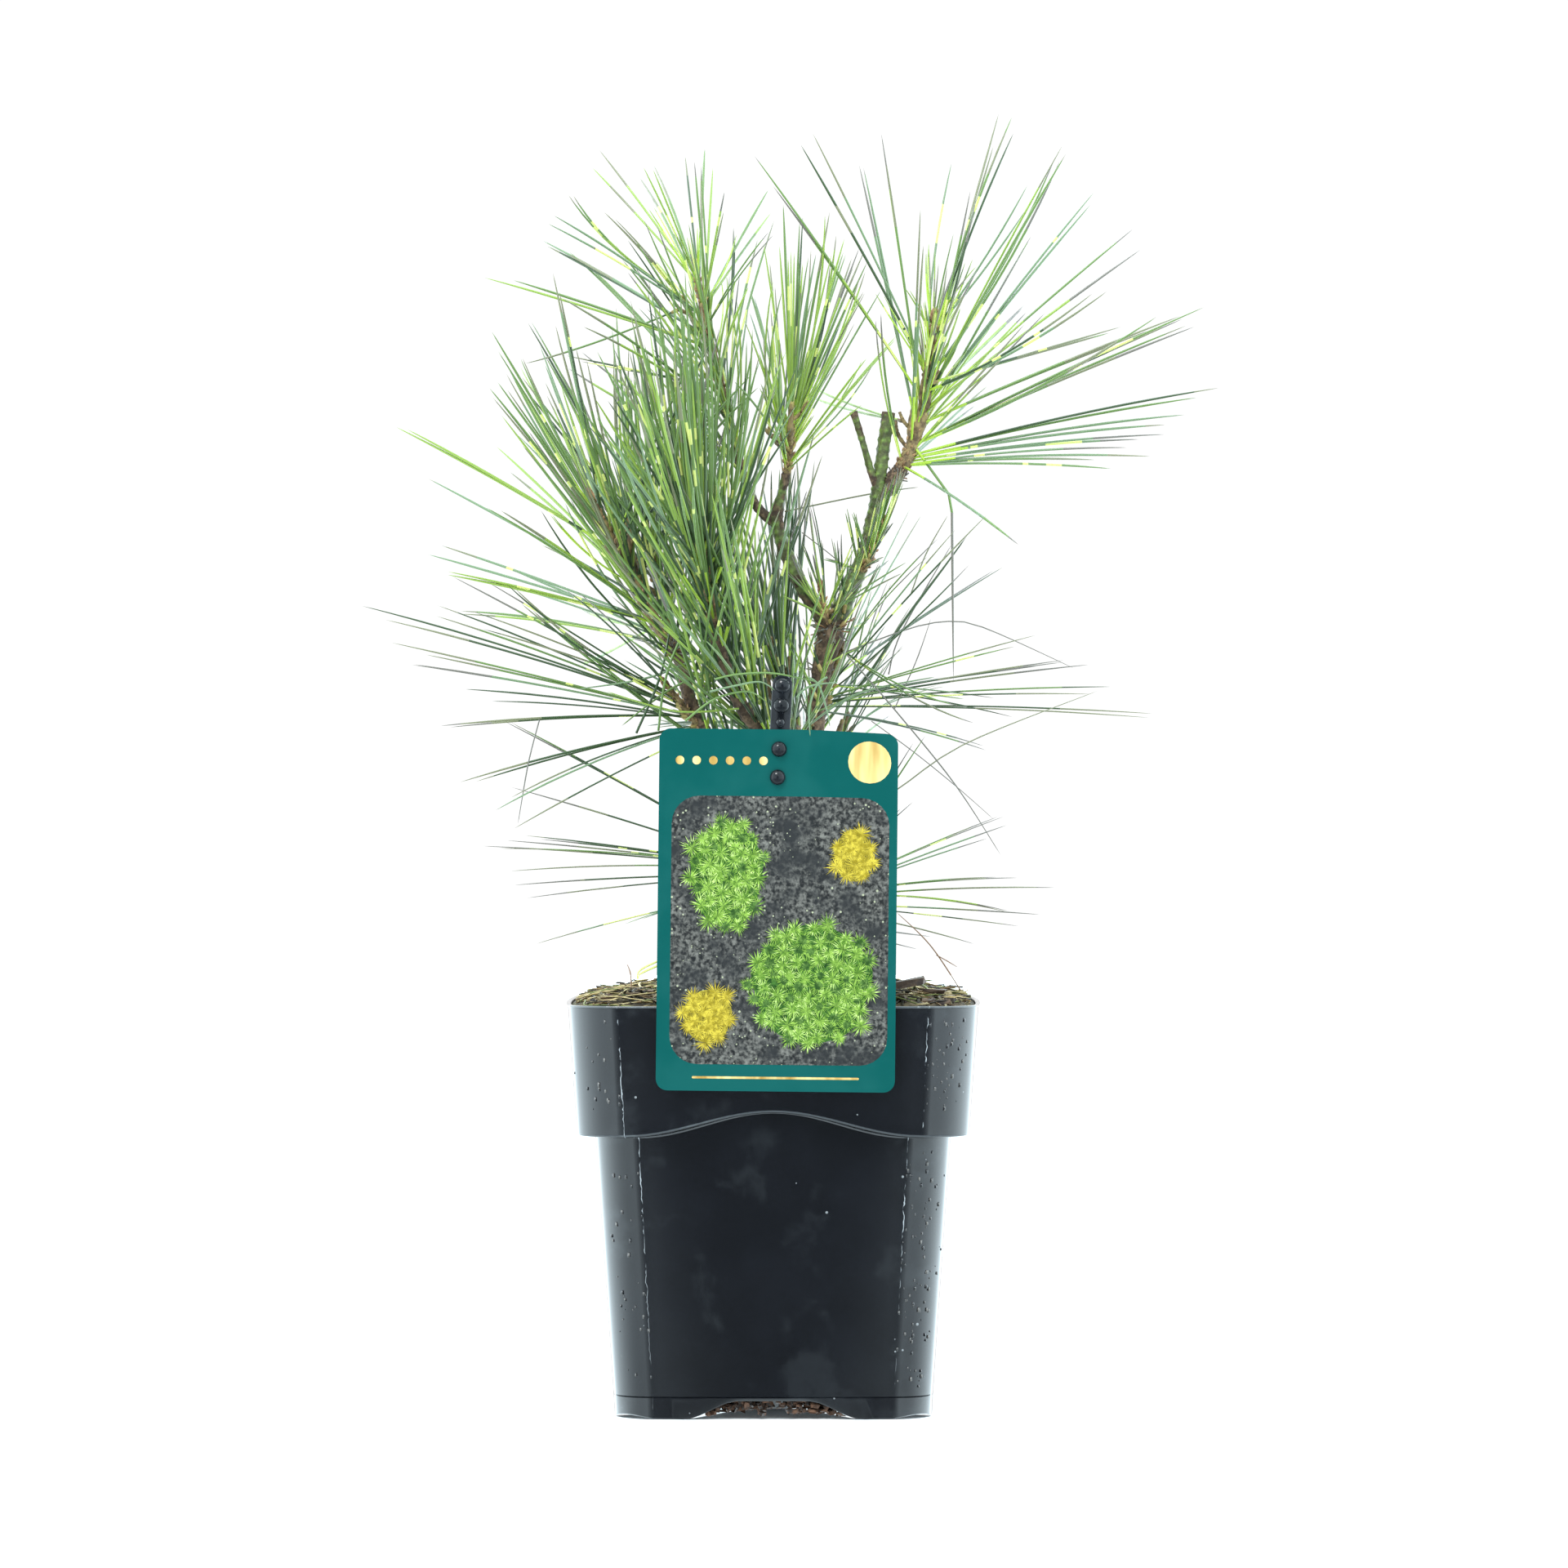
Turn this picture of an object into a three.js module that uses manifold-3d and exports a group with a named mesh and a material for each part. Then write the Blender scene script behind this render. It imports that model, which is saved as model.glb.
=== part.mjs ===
// A young dragon's eye japanese red pine in a square black nursery pot, with its picture
// card clipped to a push-in label stake. Millimetres, +Z up. The origin is the centre of the
// pot's underside. -Y is the front, where the card hangs.
import * as THREE from "three";
import { mergeVertices } from "three/addons/utils/BufferGeometryUtils.js";
import Module from "manifold-3d";

const wasm = await Module();
wasm.setup();

// Room left between two pieces that touch on the real plant.
const GAP = 0.3;

// The pot: a tapered square body with round corners and a wider collar round its top.
const POT = {
  height: 165.3,
  wall: 1.6,
  cornerShare: 0.24, // corner radius over half width
  bowShare: 0.026, // how far a side's middle stands out, over half width
  footHalfWidth: 65,
  shoulderHalfWidth: 72.8,
  collarFootHalfWidth: 80.3,
  collarEdge: 1, // the collar's rounded lower edge
  rimHalfWidth: 83.7,
  lipOut: 0.8,
  lipHeight: 1.8,
  lipSlope: 0.3,
  shoulderHeight: 113, // the collar's lower edge at a corner
  shoulderRise: 10, // how much higher that edge is in the middle of a side
  archHeight: 7.4, // the drainage arch in the middle of each side's foot
  archHalfWidth: 36,
  archSlope: 13,
  footBand: 1.2, // the upright band over the arch
  padShare: 0.28, // the flat pad in the middle of the underside, over the foot's half width
  padSlope: 0.1, // the step round that pad, in the same shares
  slotShare: 0.82, // where the drainage slots lie, in the same shares
  slotLength: 26,
  slotWidth: 9,
};
const SIDE_STEPS = 8;
const CORNER_STEPS = 3;

// The potting soil, heaped a little above the rim.
const SOIL = {
  floor: 10.2,
  edge: 164.2,
  crown: 172,
  bump: 1.1,
  // The mound inside the rim: shares of the rim's half width, and heights.
  mound: [[0.93, 167.2], [0.8, 169.2], [0.55, 170.9]],
  flatShare: 0.24, // of the half width, flat at the crown for the trunk's foot
};

// The picture card, and the stake that carries it.
const CARD = {
  width: 94.4,
  height: 143,
  thickness: 0.6,
  corner: 6,
  centre: [1.6, -86.5, 203.4],
  tilt: 1.5, // degrees, top towards the plant
  roll: 1.1, // degrees, right side down
  pegHole: 2.4,
  clear: 3, // the room that needles leave round it
  clearBehind: 10,
};
const STAKE = {
  width: 8,
  thickness: 2,
  tip: [-5, -58, 112],
  bend: [1.5, -83.7, 250],
  top: [3.9, -82.5, 296.6],
  // The pegs up its front, as heights and head radii. The lower two go through the card.
  pegs: [[292.2, 3.1], [284.3, 3.1], [277.6, 1.9], [267, 3.1], [255.9, 3.1]],
  pegRadius: 1.9,
  headHeight: 1.8,
  pegSides: 12,
  // Places along the two stretches of the stake, as [stretch, share], with the width's share.
  stations: [[0, 0, 0.2], [0, 0.12, 1], [0, 0.9, 1], [1, 0.1, 1], [1, 0.9, 1], [1, 0.965, 0.82],
    [1, 1, 0.45]],
};

// The woody parts. Each path is its centre line, starting inside what carries it.
const GROUND = SOIL.crown + GAP;
const LIMBS = [
  {
    name: "trunk",
    path: [[3.4, 4, GROUND], [3.4, 4, 177], [5, 3.6, 186], [9, 2, 230], [14.5, 0.6, 262],
      [18.5, 0, 290], [20.5, 0, 303], [23.3, 0, 313], [24.6, 0, 319]],
    radii: [9.6, 7.2, 5.9, 5.2, 4.6, 3.9, 4.2, 5.9, 4.9],
    sides: 12,
  },
  {
    name: "bough_left",
    on: "trunk",
    path: [[8, 2, 222], [-6, -4, 244], [-24, -8, 268], [-33.5, -10, 286], [-37.3, -10, 302],
      [-44.3, -9, 313.5]],
    radii: [4.4, 3.8, 3.3, 3, 2.8, 2.7],
    sides: 9,
  },
  {
    name: "bough_centre",
    on: "trunk",
    path: [[12.8, 1, 252], [-2, -10, 270], [-14, -20, 287], [-21, -26, 305], [-24.5, -29.5, 320]],
    radii: [3.8, 3.2, 2.9, 2.6, 2.5],
    sides: 9,
  },
  {
    name: "bough_middle",
    on: "trunk",
    path: [[24, 0.5, 314], [18.4, 2.5, 324.5], [12.3, 4, 333], [5.9, 5, 346], [1.5, 6, 360],
      [3, 6, 371], [5.6, 5, 381]],
    radii: [3.6, 3.5, 3.3, 3, 2.8, 2.1, 1.6],
    sides: 9,
  },
  {
    name: "bough_leader",
    on: "bough_middle",
    path: [[1.8, 6, 359], [-7.3, 8, 367.7], [-13.7, 10, 384.3], [-18.7, 9, 405.5]],
    radii: [2.1, 1.9, 1.9, 1.8],
    sides: 8,
  },
  {
    name: "bough_right",
    on: "trunk",
    path: [[24.4, 0, 316], [31, -0.5, 332], [35.4, -1, 342], [39.5, -1, 357], [42.3, -1, 371],
      [44.2, -0.5, 385], [47, 0, 405]],
    radii: [3.9, 3.6, 3.3, 2.9, 2.8, 2.7, 2.6],
    sides: 10,
    keepClearOf: ["bough_middle"],
  },
  {
    name: "cut_side_stub",
    on: "bough_right",
    path: [[42.6, -1, 374], [40, -2.5, 380], [35.8, -4, 394.7], [32.5, -5, 405]],
    radii: [1.7, 1.5, 1.4, 1.7],
    sides: 8,
  },
  {
    name: "bough_top_right",
    on: "bough_right",
    path: [[42.6, -0.8, 369.5], [46.5, 0, 373.6], [49, 0.5, 377.4], [52.3, 0.8, 382.6]],
    radii: [2.6, 3.3, 3.7, 3],
    sides: 9,
  },
];

// Where the eye was when the reach lists below were measured: they give [x, z] as seen from
// there against the plane y = 0.
const EYE = [4.3, -2667, 253.3];

// The shoots. A shoot's stem starts inside its bough. Needles leave it along its length at
// spread[0] degrees from the stem near its foot and spread[1] at its bud, and lean by lean,
// most of all near the foot.
// "reach" holds the tips that stand furthest out all round the shoot, seen from the front:
// a needle grows to each, and no other needle of the shoot ends outside them. "edge" holds
// more corners of that outline, with no needle of their own.
const SHOOTS = [
  {
    name: "needles_top_right",
    on: "bough_top_right",
    stem: [[51.7, 0.8, 381.6], [55.4, 0.5, 388.5], [61.6, -0.5, 407.5], [65.3, -1, 441]],
    radii: [2.9, 2.7, 2.5, 1.3],
    needles: 58, length: [108, 124], spread: [86, 14], lean: [0.25, 0, -0.04], twigs: 2, seed: 11,
    reach: [[-8, 510], [16, 519], [44, 519], [92, 527], [118, 514], [131, 495], [147, 480], [176, 448],
      [182, 415], [168, 404], [154, 387], [138, 382], [100, 351]],
    edge: [[4, 470], [6, 425], [18, 402], [62, 358]],
    folded: { root: 0.4, forward: 6, fold: [72.8, 369.9], end: [73.5, 294.2] },
  },
  {
    name: "needles_leader",
    on: "bough_leader",
    stem: [[-18.3, 9.1, 404.5], [-22.5, 8, 420], [-28, 5, 443], [-31.3, 4, 461.7]],
    radii: [1.8, 1.8, 1.7, 1.1],
    needles: 48, length: [76, 96], spread: [64, 10], lean: [0.08, 0, 0.12], twigs: 2, seed: 23,
    reach: [[-118, 460], [-94, 475], [-92, 482], [-71, 512], [-53, 505], [-28, 513], [-20, 495],
      [-2, 496]],
    edge: [[10, 460], [8, 420], [-20, 390], [-100, 425]],
  },
  {
    name: "needles_left",
    on: "bough_left",
    stem: [[-43.7, -9.1, 312.6], [-52.3, -9, 326.7], [-59.5, -8, 341], [-73, -6, 368]],
    radii: [2.6, 2.4, 2.1, 1.2],
    needles: 58, length: [94, 116], spread: [88, 14], lean: [0.05, 0, 0.17], twigs: 3, seed: 37,
    reach: [[-115, 438], [-90, 462], [-116, 415], [-113, 391], [-154, 399], [-141, 378], [-117, 366],
      [-141, 347], [-133, 340]],
    edge: [[-60, 468], [-20, 455], [0, 400], [-12, 330], [-70, 300]],
  },
  {
    name: "needles_front",
    on: "bough_centre",
    stem: [[-24.2, -29.2, 319], [-26.5, -32, 331], [-28.6, -34, 350]],
    radii: [2.4, 2.2, 1.2],
    needles: 50, length: [92, 116], spread: [40, 6], lean: [0, 0, 0.34], twigs: 1, seed: 41,
    reach: [[-72, 430], [-51, 459], [-33, 450], [-10, 438], [2, 408]],
    edge: [[4, 380], [-8, 345], [-60, 340], [-78, 390]],
  },
  {
    name: "needles_middle",
    on: "bough_middle",
    stem: [[5.4, 5.1, 380], [6.6, 4, 388], [7.6, 2.6, 402]],
    radii: [1.6, 1.5, 1],
    needles: 20, length: [70, 96], spread: [74, 12], lean: [0.1, 0, 0.12], twigs: 2, seed: 53,
    reach: [[35, 472], [44, 455], [6, 468], [-4, 474], [38, 427], [50, 436], [36, 408]],
    edge: [[24, 396], [-8, 392], [-20, 430]],
  },
  {
    name: "needles_low_left",
    on: "bough_left",
    stem: [[-34, -10, 290], [-41, -14, 295], [-47, -20, 300], [-52, -25, 307]],
    radii: [2, 1.9, 1.7, 1.1],
    needles: 30, length: [94, 116], spread: [92, 20], lean: [-0.15, 0, -0.12], twigs: 2, seed: 67,
    reach: [[-168, 326], [-156, 311], [-148, 302], [-131, 338], [-136, 277], [-126, 292], [-128, 254],
      [-106, 235]],
    edge: [[-60, 355], [-10, 340], [-10, 270], [-60, 240]],
  },
  {
    name: "needles_right",
    on: "trunk",
    stem: [[17.6, 0.2, 281], [26, 4, 287], [32, 6.5, 296], [36, 8, 306]],
    radii: [2, 1.9, 1.7, 1.1],
    needles: 28, length: [92, 118], spread: [96, 24], lean: [0.2, 0, -0.06], twigs: 2, seed: 79,
    reach: [[129, 302], [138, 293], [155, 282], [118, 303], [107, 314], [94, 342], [87, 363], [56, 366],
      [87, 267]],
    edge: [[40, 345], [10, 325], [-20, 300], [0, 262], [60, 250]],
  },
  {
    name: "needles_under_left",
    on: "trunk",
    stem: [[7, 3, 208], [-1, 9, 215], [-10, 13, 222], [-16, 15, 230]],
    radii: [1.9, 1.8, 1.6, 1.1],
    needles: 14, length: [92, 112], spread: [80, 20], lean: [-0.2, 0, -0.08], twigs: 1, seed: 83,
    reach: [[-110, 279], [-107, 252], [-119, 228], [-112, 227], [-106, 212], [-97, 188], [-61, 196]],
    edge: [[-30, 185], [30, 190], [20, 290], [-60, 300]],
  },
  {
    name: "needles_under_right",
    on: "trunk",
    stem: [[6, 3, 196], [17, 8, 203], [24, 10, 210], [30, 11, 218]],
    radii: [1.9, 1.8, 1.6, 1.1],
    needles: 11, length: [76, 98], spread: [84, 24], lean: [0.25, 0, -0.2], twigs: 1, seed: 97,
    reach: [[62, 273], [94, 240], [115, 211], [100, 215], [109, 200], [82, 188], [57, 246]],
    edge: [[50, 185], [-30, 185], [-20, 260], [30, 285]],
  },
  {
    name: "needles_back",
    on: "trunk",
    stem: [[13.6, 1, 257], [9, 14, 272], [3, 26, 290], [0, 33, 308]],
    radii: [2.2, 2.1, 1.8, 1.1],
    needles: 50, length: [88, 110], spread: [84, 14], lean: [0, 0, 0.12], twigs: 3, seed: 101,
    reach: [],
    edge: [[-75, 330], [-60, 390], [-20, 412], [10, 400], [18, 350], [60, 300], [50, 250], [-40, 240],
      [-70, 280]],
  },
  {
    name: "needles_back_right",
    on: "trunk",
    stem: [[11.3, 2, 241], [20, 16, 253], [27, 28, 268], [31, 36, 284]],
    radii: [2.1, 2, 1.7, 1.1],
    needles: 28, length: [84, 104], spread: [84, 18], lean: [0.1, 0, 0], twigs: 2, seed: 113,
    reach: [],
    edge: [[108, 300], [90, 340], [60, 338], [30, 328], [0, 330], [-20, 280], [20, 230], [90, 220],
      [112, 260]],
  },
  {
    name: "needles_back_left",
    on: "bough_left",
    stem: [[-36.6, -9.8, 299], [-42, 0, 316], [-48, 10, 336], [-52, 17, 356]],
    radii: [2.1, 2, 1.7, 1.1],
    needles: 48, length: [88, 110], spread: [74, 12], lean: [0, 0, 0.16], twigs: 2, seed: 127,
    reach: [],
    edge: [[-130, 395], [-108, 438], [-60, 462], [-20, 448], [-8, 380], [-25, 300], [-100, 290],
      [-140, 340]],
  },
  {
    name: "needles_limb_side",
    on: "bough_right",
    stem: [[34, -1, 339], [38.6, -5.6, 343], [41, -7.2, 349], [43.2, -8, 357]],
    radii: [1.4, 1.3, 1.1, 0.8],
    needles: 12, length: [26, 46], spread: [58, 18], lean: [0.1, 0, 0.2], twigs: 0, seed: 131,
    reach: [[20, 345], [30, 366], [54, 381], [49, 360], [45, 346]],
    edge: [[30, 325], [42, 325]],
  },
  {
    name: "needles_knot",
    on: "trunk",
    stem: [[23.6, -1, 315], [21.2, -5.5, 322], [20, -7.5, 330]],
    radii: [1.4, 1.2, 0.8],
    needles: 8, length: [20, 34], spread: [62, 14], lean: [0, 0, 0.2], twigs: 0, seed: 139,
    reach: [[12, 352], [27, 350], [33, 353], [6, 340], [38, 338]],
    edge: [[10, 320], [34, 318]],
  },
];

// One needle of the model stands for a bundle of two or more on the plant.
const NEEDLE = {
  sides: 3,
  thicknessShare: 1 / 98, // of its length
  leastThickness: 0.9,
  radiusShare: 2 / 3, // a three-sided needle's outer radius, over its thickness
  rootDepth: 0.6, // sunk past the stem's centre line
  rootShare: 0.6, // of its thickness, at its root
  droop: 0.16, // how far the outer half sinks, over its length
  leastDroop: 0.4, // of that
  arch: 0.018, // how far a measured needle's middle stands above its chord, over its length
  leastArch: 0.5, // of that
  wander: 7, // degrees of seeded scatter
  spreadWander: 1.5, // times that, for the angle from the stem
  depthShares: [1, -1, 0.6, -0.6], // how far forward or back a measured needle may lie
  depthCost: 6, // degrees of misfit added for each step down that list
  leanAtFoot: 1.4, // times a shoot's lean, falling by 1 up to its bud
  clearance: 0.45,
  rootRoom: 14, // the first stretch, where needles of one shoot may touch
  merge: 0.05, // slivers thinner than this at the roots are merged away
  tries: 6,
  tryTurn: 31, // degrees further round the stem for each new try
  stemSpan: [0.16, 0.99], // the stretch of a stem that bears needles
  twigSpan: [0.3, 0.98],
  rootStep: 0.06, // between the roots tried for a measured tip, over the stem's length
  places: 20, // looked at along a needle
  lowest: 176, // no needle hangs below this
};
const GOLDEN_ANGLE = 137.508;
const TWIG = { length: [16, 26], spread: 38, radius: [1.3, 0.8], sides: 3, from: 0.3, to: 0.8 };
const STEM_SIDES = 6;

const COLOURS = {
  bark: 0x5f4a36,
  pot: 0x1d2127,
  soil: 0x3b2a1c,
  card: 0x0a6b63,
  stake: 0x17191c,
  greenWood: 0x56663a,
  needles: 0x4c8a3c,
};

// Any direction that no limb runs along: sections are turned from it.
const ASKEW = new THREE.Vector3(0.31, 0.87, 0.38);

const vector = (p) => new THREE.Vector3(...p);
const lerp = THREE.MathUtils.lerp;
const radians = THREE.MathUtils.degToRad;

// A seeded generator of numbers from 0 to 1.
function randomFrom(seed) {
  let state = seed >>> 0;
  return () => {
    state = (Math.imul(state, 1664525) + 1013904223) >>> 0;
    return state / 2 ** 32;
  };
}

// A closed surface through rings of equally many points, with a flat or pointed end each way.
function loft(rings) {
  const positions = [];
  const faces = [];
  const starts = rings.map((ring) => {
    const start = positions.length / 3;
    ring.forEach((p) => positions.push(p.x, p.y, p.z));
    return start;
  });
  for (let i = 0; i + 1 < rings.length; i++) {
    const lower = rings[i].length;
    const upper = rings[i + 1].length;
    const n = Math.max(lower, upper);
    for (let k = 0; k < n; k++) {
      const a = starts[i] + (k % lower);
      const b = starts[i] + ((k + 1) % lower);
      const c = starts[i + 1] + (k % upper);
      const d = starts[i + 1] + ((k + 1) % upper);
      if (lower > 1) faces.push(a, b, d);
      if (upper > 1) faces.push(a, d, c);
    }
  }
  const first = rings[0].length;
  const last = rings.length - 1;
  for (let k = 1; k + 1 < first; k++) faces.push(0, k + 1, k);
  for (let k = 1; k + 1 < rings[last].length; k++) {
    faces.push(starts[last], starts[last] + k, starts[last] + k + 1);
  }
  const geometry = new THREE.BufferGeometry();
  geometry.setAttribute("position", new THREE.Float32BufferAttribute(positions, 3));
  geometry.setIndex(faces);
  return geometry;
}

// A round limb along a centre line, with a radius at each point. A radius of 0 is a sharp tip.
function limbGeometry(points, radii, sides) {
  const normal = ASKEW.clone();
  const rings = points.map((p, i) => {
    const before = points[Math.max(i - 1, 0)];
    const after = points[Math.min(i + 1, points.length - 1)];
    const along = after.clone().sub(before).normalize();
    normal.addScaledVector(along, -normal.dot(along)).normalize();
    const across = along.clone().cross(normal);
    if (radii[i] === 0) return [p.clone()];
    return Array.from({ length: sides }, (_, k) => {
      const turn = (2 * Math.PI * k) / sides;
      return p
        .clone()
        .addScaledVector(normal, radii[i] * Math.cos(turn))
        .addScaledVector(across, radii[i] * Math.sin(turn));
    });
  });
  return loft(rings);
}

function solidOf(geometry) {
  const bare = new THREE.BufferGeometry();
  bare.setAttribute("position", geometry.getAttribute("position").clone());
  if (geometry.index) bare.setIndex(geometry.index.clone());
  const merged = mergeVertices(bare, 1e-4);
  return new wasm.Manifold(
    new wasm.Mesh({
      numProp: 3,
      vertProperties: new Float32Array(merged.attributes.position.array),
      triVerts: new Uint32Array(merged.index.array),
    }),
  );
}

function geometryOf(solid) {
  const mesh = solid.getMesh();
  const geometry = new THREE.BufferGeometry();
  geometry.setAttribute("position", new THREE.BufferAttribute(mesh.vertProperties, 3));
  geometry.setIndex(new THREE.BufferAttribute(mesh.triVerts, 1));
  return geometry;
}

// The largest body of a solid, with loose scraps dropped and sealed hollows filled.
function wholeBody(solid) {
  const bodies = solid.decompose();
  return bodies.reduce((best, body) => (body.volume() > best.volume() ? body : best));
}

const group = new THREE.Group();

function addNode(name, solid, colour, roughness) {
  const material = new THREE.MeshStandardMaterial({ color: colour, roughness, metalness: 0 });
  const mesh = new THREE.Mesh(geometryOf(solid), material);
  mesh.name = name;
  group.add(mesh);
}

// The pot's outline at half width 1, as { x, y, side }, where side runs from -1 to 1 along a
// side's straight stretch and is 1 all round a corner.
function unitOutline() {
  const points = [];
  const radius = POT.cornerShare;
  const straight = 1 - POT.bowShare - radius;
  for (let quarter = 0; quarter < 4; quarter++) {
    const turn = (quarter * Math.PI) / 2;
    const place = (across, out, side) =>
      points.push({
        x: out * Math.sin(turn) + across * Math.cos(turn),
        y: -out * Math.cos(turn) + across * Math.sin(turn),
        side,
      });
    for (let k = 0; k < SIDE_STEPS; k++) {
      const side = (2 * k) / SIDE_STEPS - 1;
      place(straight * side, 1 - POT.bowShare * side * side, side);
    }
    for (let k = 0; k < CORNER_STEPS; k++) {
      const angle = ((Math.PI / 2) * k) / CORNER_STEPS;
      place(straight + radius * Math.sin(angle), straight + radius * Math.cos(angle), 1);
    }
  }
  return points;
}
const OUTLINE = unitOutline();

const wave = (side) => 0.5 + 0.5 * Math.cos(Math.PI * side);
const shoulderAt = (side) => POT.shoulderHeight + POT.shoulderRise * wave(side);

// The arch over the underside's channel, at a share of the way out from the middle.
function archAt(side) {
  const straight = POT.footHalfWidth * (1 - POT.bowShare - POT.cornerShare);
  const inward = POT.archHalfWidth - Math.abs(side) * straight;
  return POT.archHeight * THREE.MathUtils.clamp(inward / POT.archSlope, 0, 1);
}

// One ring of the pot or soil: the half width and the height may vary along a side.
function potRing(halfWidth, height) {
  return OUTLINE.map(({ x, y, side }) => {
    const z = typeof height === "function" ? height(side) : height;
    return new THREE.Vector3(x * halfWidth, y * halfWidth, z);
  });
}

function bodyHalfWidth(height) {
  return lerp(POT.footHalfWidth, POT.shoulderHalfWidth, height / POT.shoulderHeight);
}

function potSolid() {
  const { wall, footHalfWidth: foot, shoulderHalfWidth: shoulder, lipOut, collarEdge } = POT;
  const collarFoot = POT.collarFootHalfWidth;
  const rim = POT.rimHalfWidth;
  const lip = POT.height - POT.lipHeight;
  const band = POT.archHeight + POT.footBand;
  const padFoot = foot * (POT.padShare + POT.padSlope);
  const channelTop = (side) => archAt(side) + wall;
  const rings = [
    [new THREE.Vector3(0, 0, 0)],
    potRing(foot * POT.padShare, 0),
    potRing(padFoot, archAt),
    potRing(foot - wall, archAt),
    potRing(foot, archAt),
    potRing(bodyHalfWidth(band), band),
    potRing(shoulder, shoulderAt),
    potRing(collarFoot - collarEdge, shoulderAt),
    potRing(collarFoot, (side) => shoulderAt(side) + collarEdge),
    potRing(rim, lip),
    potRing(rim + lipOut, lip + POT.lipSlope),
    potRing(rim + lipOut, POT.height),
    potRing(rim - wall, POT.height),
    potRing(collarFoot - wall, (side) => shoulderAt(side) + wall),
    potRing(shoulder - wall, (side) => shoulderAt(side) + wall),
    potRing(foot - wall, channelTop),
    potRing(padFoot, channelTop),
    potRing(foot * POT.padShare, wall),
    [new THREE.Vector3(0, 0, wall)],
  ];
  let solid = solidOf(loft(rings));
  for (let quarter = 0; quarter < 4; quarter++) {
    const slot = new THREE.BoxGeometry(POT.slotLength, POT.slotWidth, 3 * POT.archHeight);
    slot.translate(0, -foot * POT.slotShare, POT.archHeight);
    slot.rotateZ((quarter * Math.PI) / 2);
    solid = solid.subtract(solidOf(slot));
  }
  return wholeBody(solid);
}

function soilSolid(stake) {
  const random = randomFrom(7);
  const inner = (halfWidth) => halfWidth - POT.wall - GAP;
  const ledge = (side) => shoulderAt(side) + POT.wall + GAP;
  const bumpy = (height) => () => height + SOIL.bump * (2 * random() - 1);
  const collar = (height) => {
    const share = (height - POT.shoulderHeight) / (POT.height - POT.shoulderHeight);
    return lerp(POT.collarFootHalfWidth, POT.rimHalfWidth, share);
  };
  const rings = [
    [new THREE.Vector3(0, 0, SOIL.floor)],
    potRing(inner(POT.footHalfWidth), SOIL.floor),
    potRing(inner(POT.shoulderHalfWidth), ledge),
    potRing(inner(POT.collarFootHalfWidth), ledge),
    potRing(inner(collar(SOIL.edge)), SOIL.edge),
    ...SOIL.mound.map(([share, height]) => potRing(inner(collar(SOIL.edge)) * share, bumpy(height))),
    potRing(inner(collar(SOIL.edge)) * SOIL.flatShare, SOIL.crown),
  ];
  return wholeBody(solidOf(loft(rings)).subtract(stake));
}

// A strip of rectangular section along a path that stays in one upright plane.
function strip(path, widths, thickness) {
  return loft(
    path.map((p, i) => {
      const before = path[Math.max(i - 1, 0)];
      const after = path[Math.min(i + 1, path.length - 1)];
      const along = after.clone().sub(before).normalize();
      const across = new THREE.Vector3(1, 0, 0).addScaledVector(along, -along.x).normalize();
      const out = along.clone().cross(across);
      const corner = (u, v) =>
        p.clone().addScaledVector(across, (u * widths[i]) / 2).addScaledVector(out, (v * thickness) / 2);
      return [corner(-1, -1), corner(1, -1), corner(1, 1), corner(-1, 1)];
    }),
  );
}

// The stake's pegs, each with its place on the stake's centre line.
function pegPlaces() {
  const top = vector(STAKE.top);
  const bend = vector(STAKE.bend);
  return STAKE.pegs.map(([height, headRadius]) => {
    const place = top.clone().lerp(bend, (top.z - height) / (top.z - bend.z));
    return { place, headRadius, onCard: height < cardTop() };
  });
}

// A short round peg that points to the front, from a place on the stake's centre line.
function pegGeometry(place, radius, from, to) {
  const peg = new THREE.CylinderGeometry(radius, radius, to - from, STAKE.pegSides);
  peg.translate(0, (from + to) / 2, 0);
  peg.rotateX(Math.PI - radians(CARD.tilt));
  return peg.translate(place.x, place.y, place.z);
}

// How far in front of the stake's centre line the card's front face lies.
function cardFront() {
  return STAKE.thickness / 2 + GAP + CARD.thickness + GAP;
}

function stakeSolid(spare = 0) {
  const tip = vector(STAKE.tip);
  const bend = vector(STAKE.bend);
  const top = vector(STAKE.top);
  const down = tip.clone().sub(bend).setLength(spare);
  const ends = [[tip.clone().add(down), bend], [bend, top]];
  const path = STAKE.stations.map(([stretch, share]) => {
    const [a, b] = ends[stretch];
    return a.clone().lerp(b, share);
  });
  const widths = STAKE.stations.map(([, , share]) => share * STAKE.width + 2 * spare);
  let solid = solidOf(strip(path, widths, STAKE.thickness + 2 * spare));
  if (spare > 0) return solid;
  pegPlaces().forEach(({ place, headRadius, onCard }) => {
    const front = onCard ? cardFront() : STAKE.thickness / 2;
    const end = front + STAKE.headHeight;
    solid = solid.add(solidOf(pegGeometry(place, onCard ? STAKE.pegRadius : headRadius, 0, end)));
    if (onCard) solid = solid.add(solidOf(pegGeometry(place, headRadius, front, end)));
  });
  return wholeBody(solid);
}

const cardTop = () => CARD.centre[2] + CARD.height / 2;

// The card stands upright with its picture to the front, tilted and rolled a little.
function placeCard(geometry) {
  geometry.rotateX(Math.PI / 2);
  geometry.rotateY(radians(CARD.roll));
  geometry.rotateX(radians(-CARD.tilt));
  return geometry.translate(...CARD.centre);
}

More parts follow.
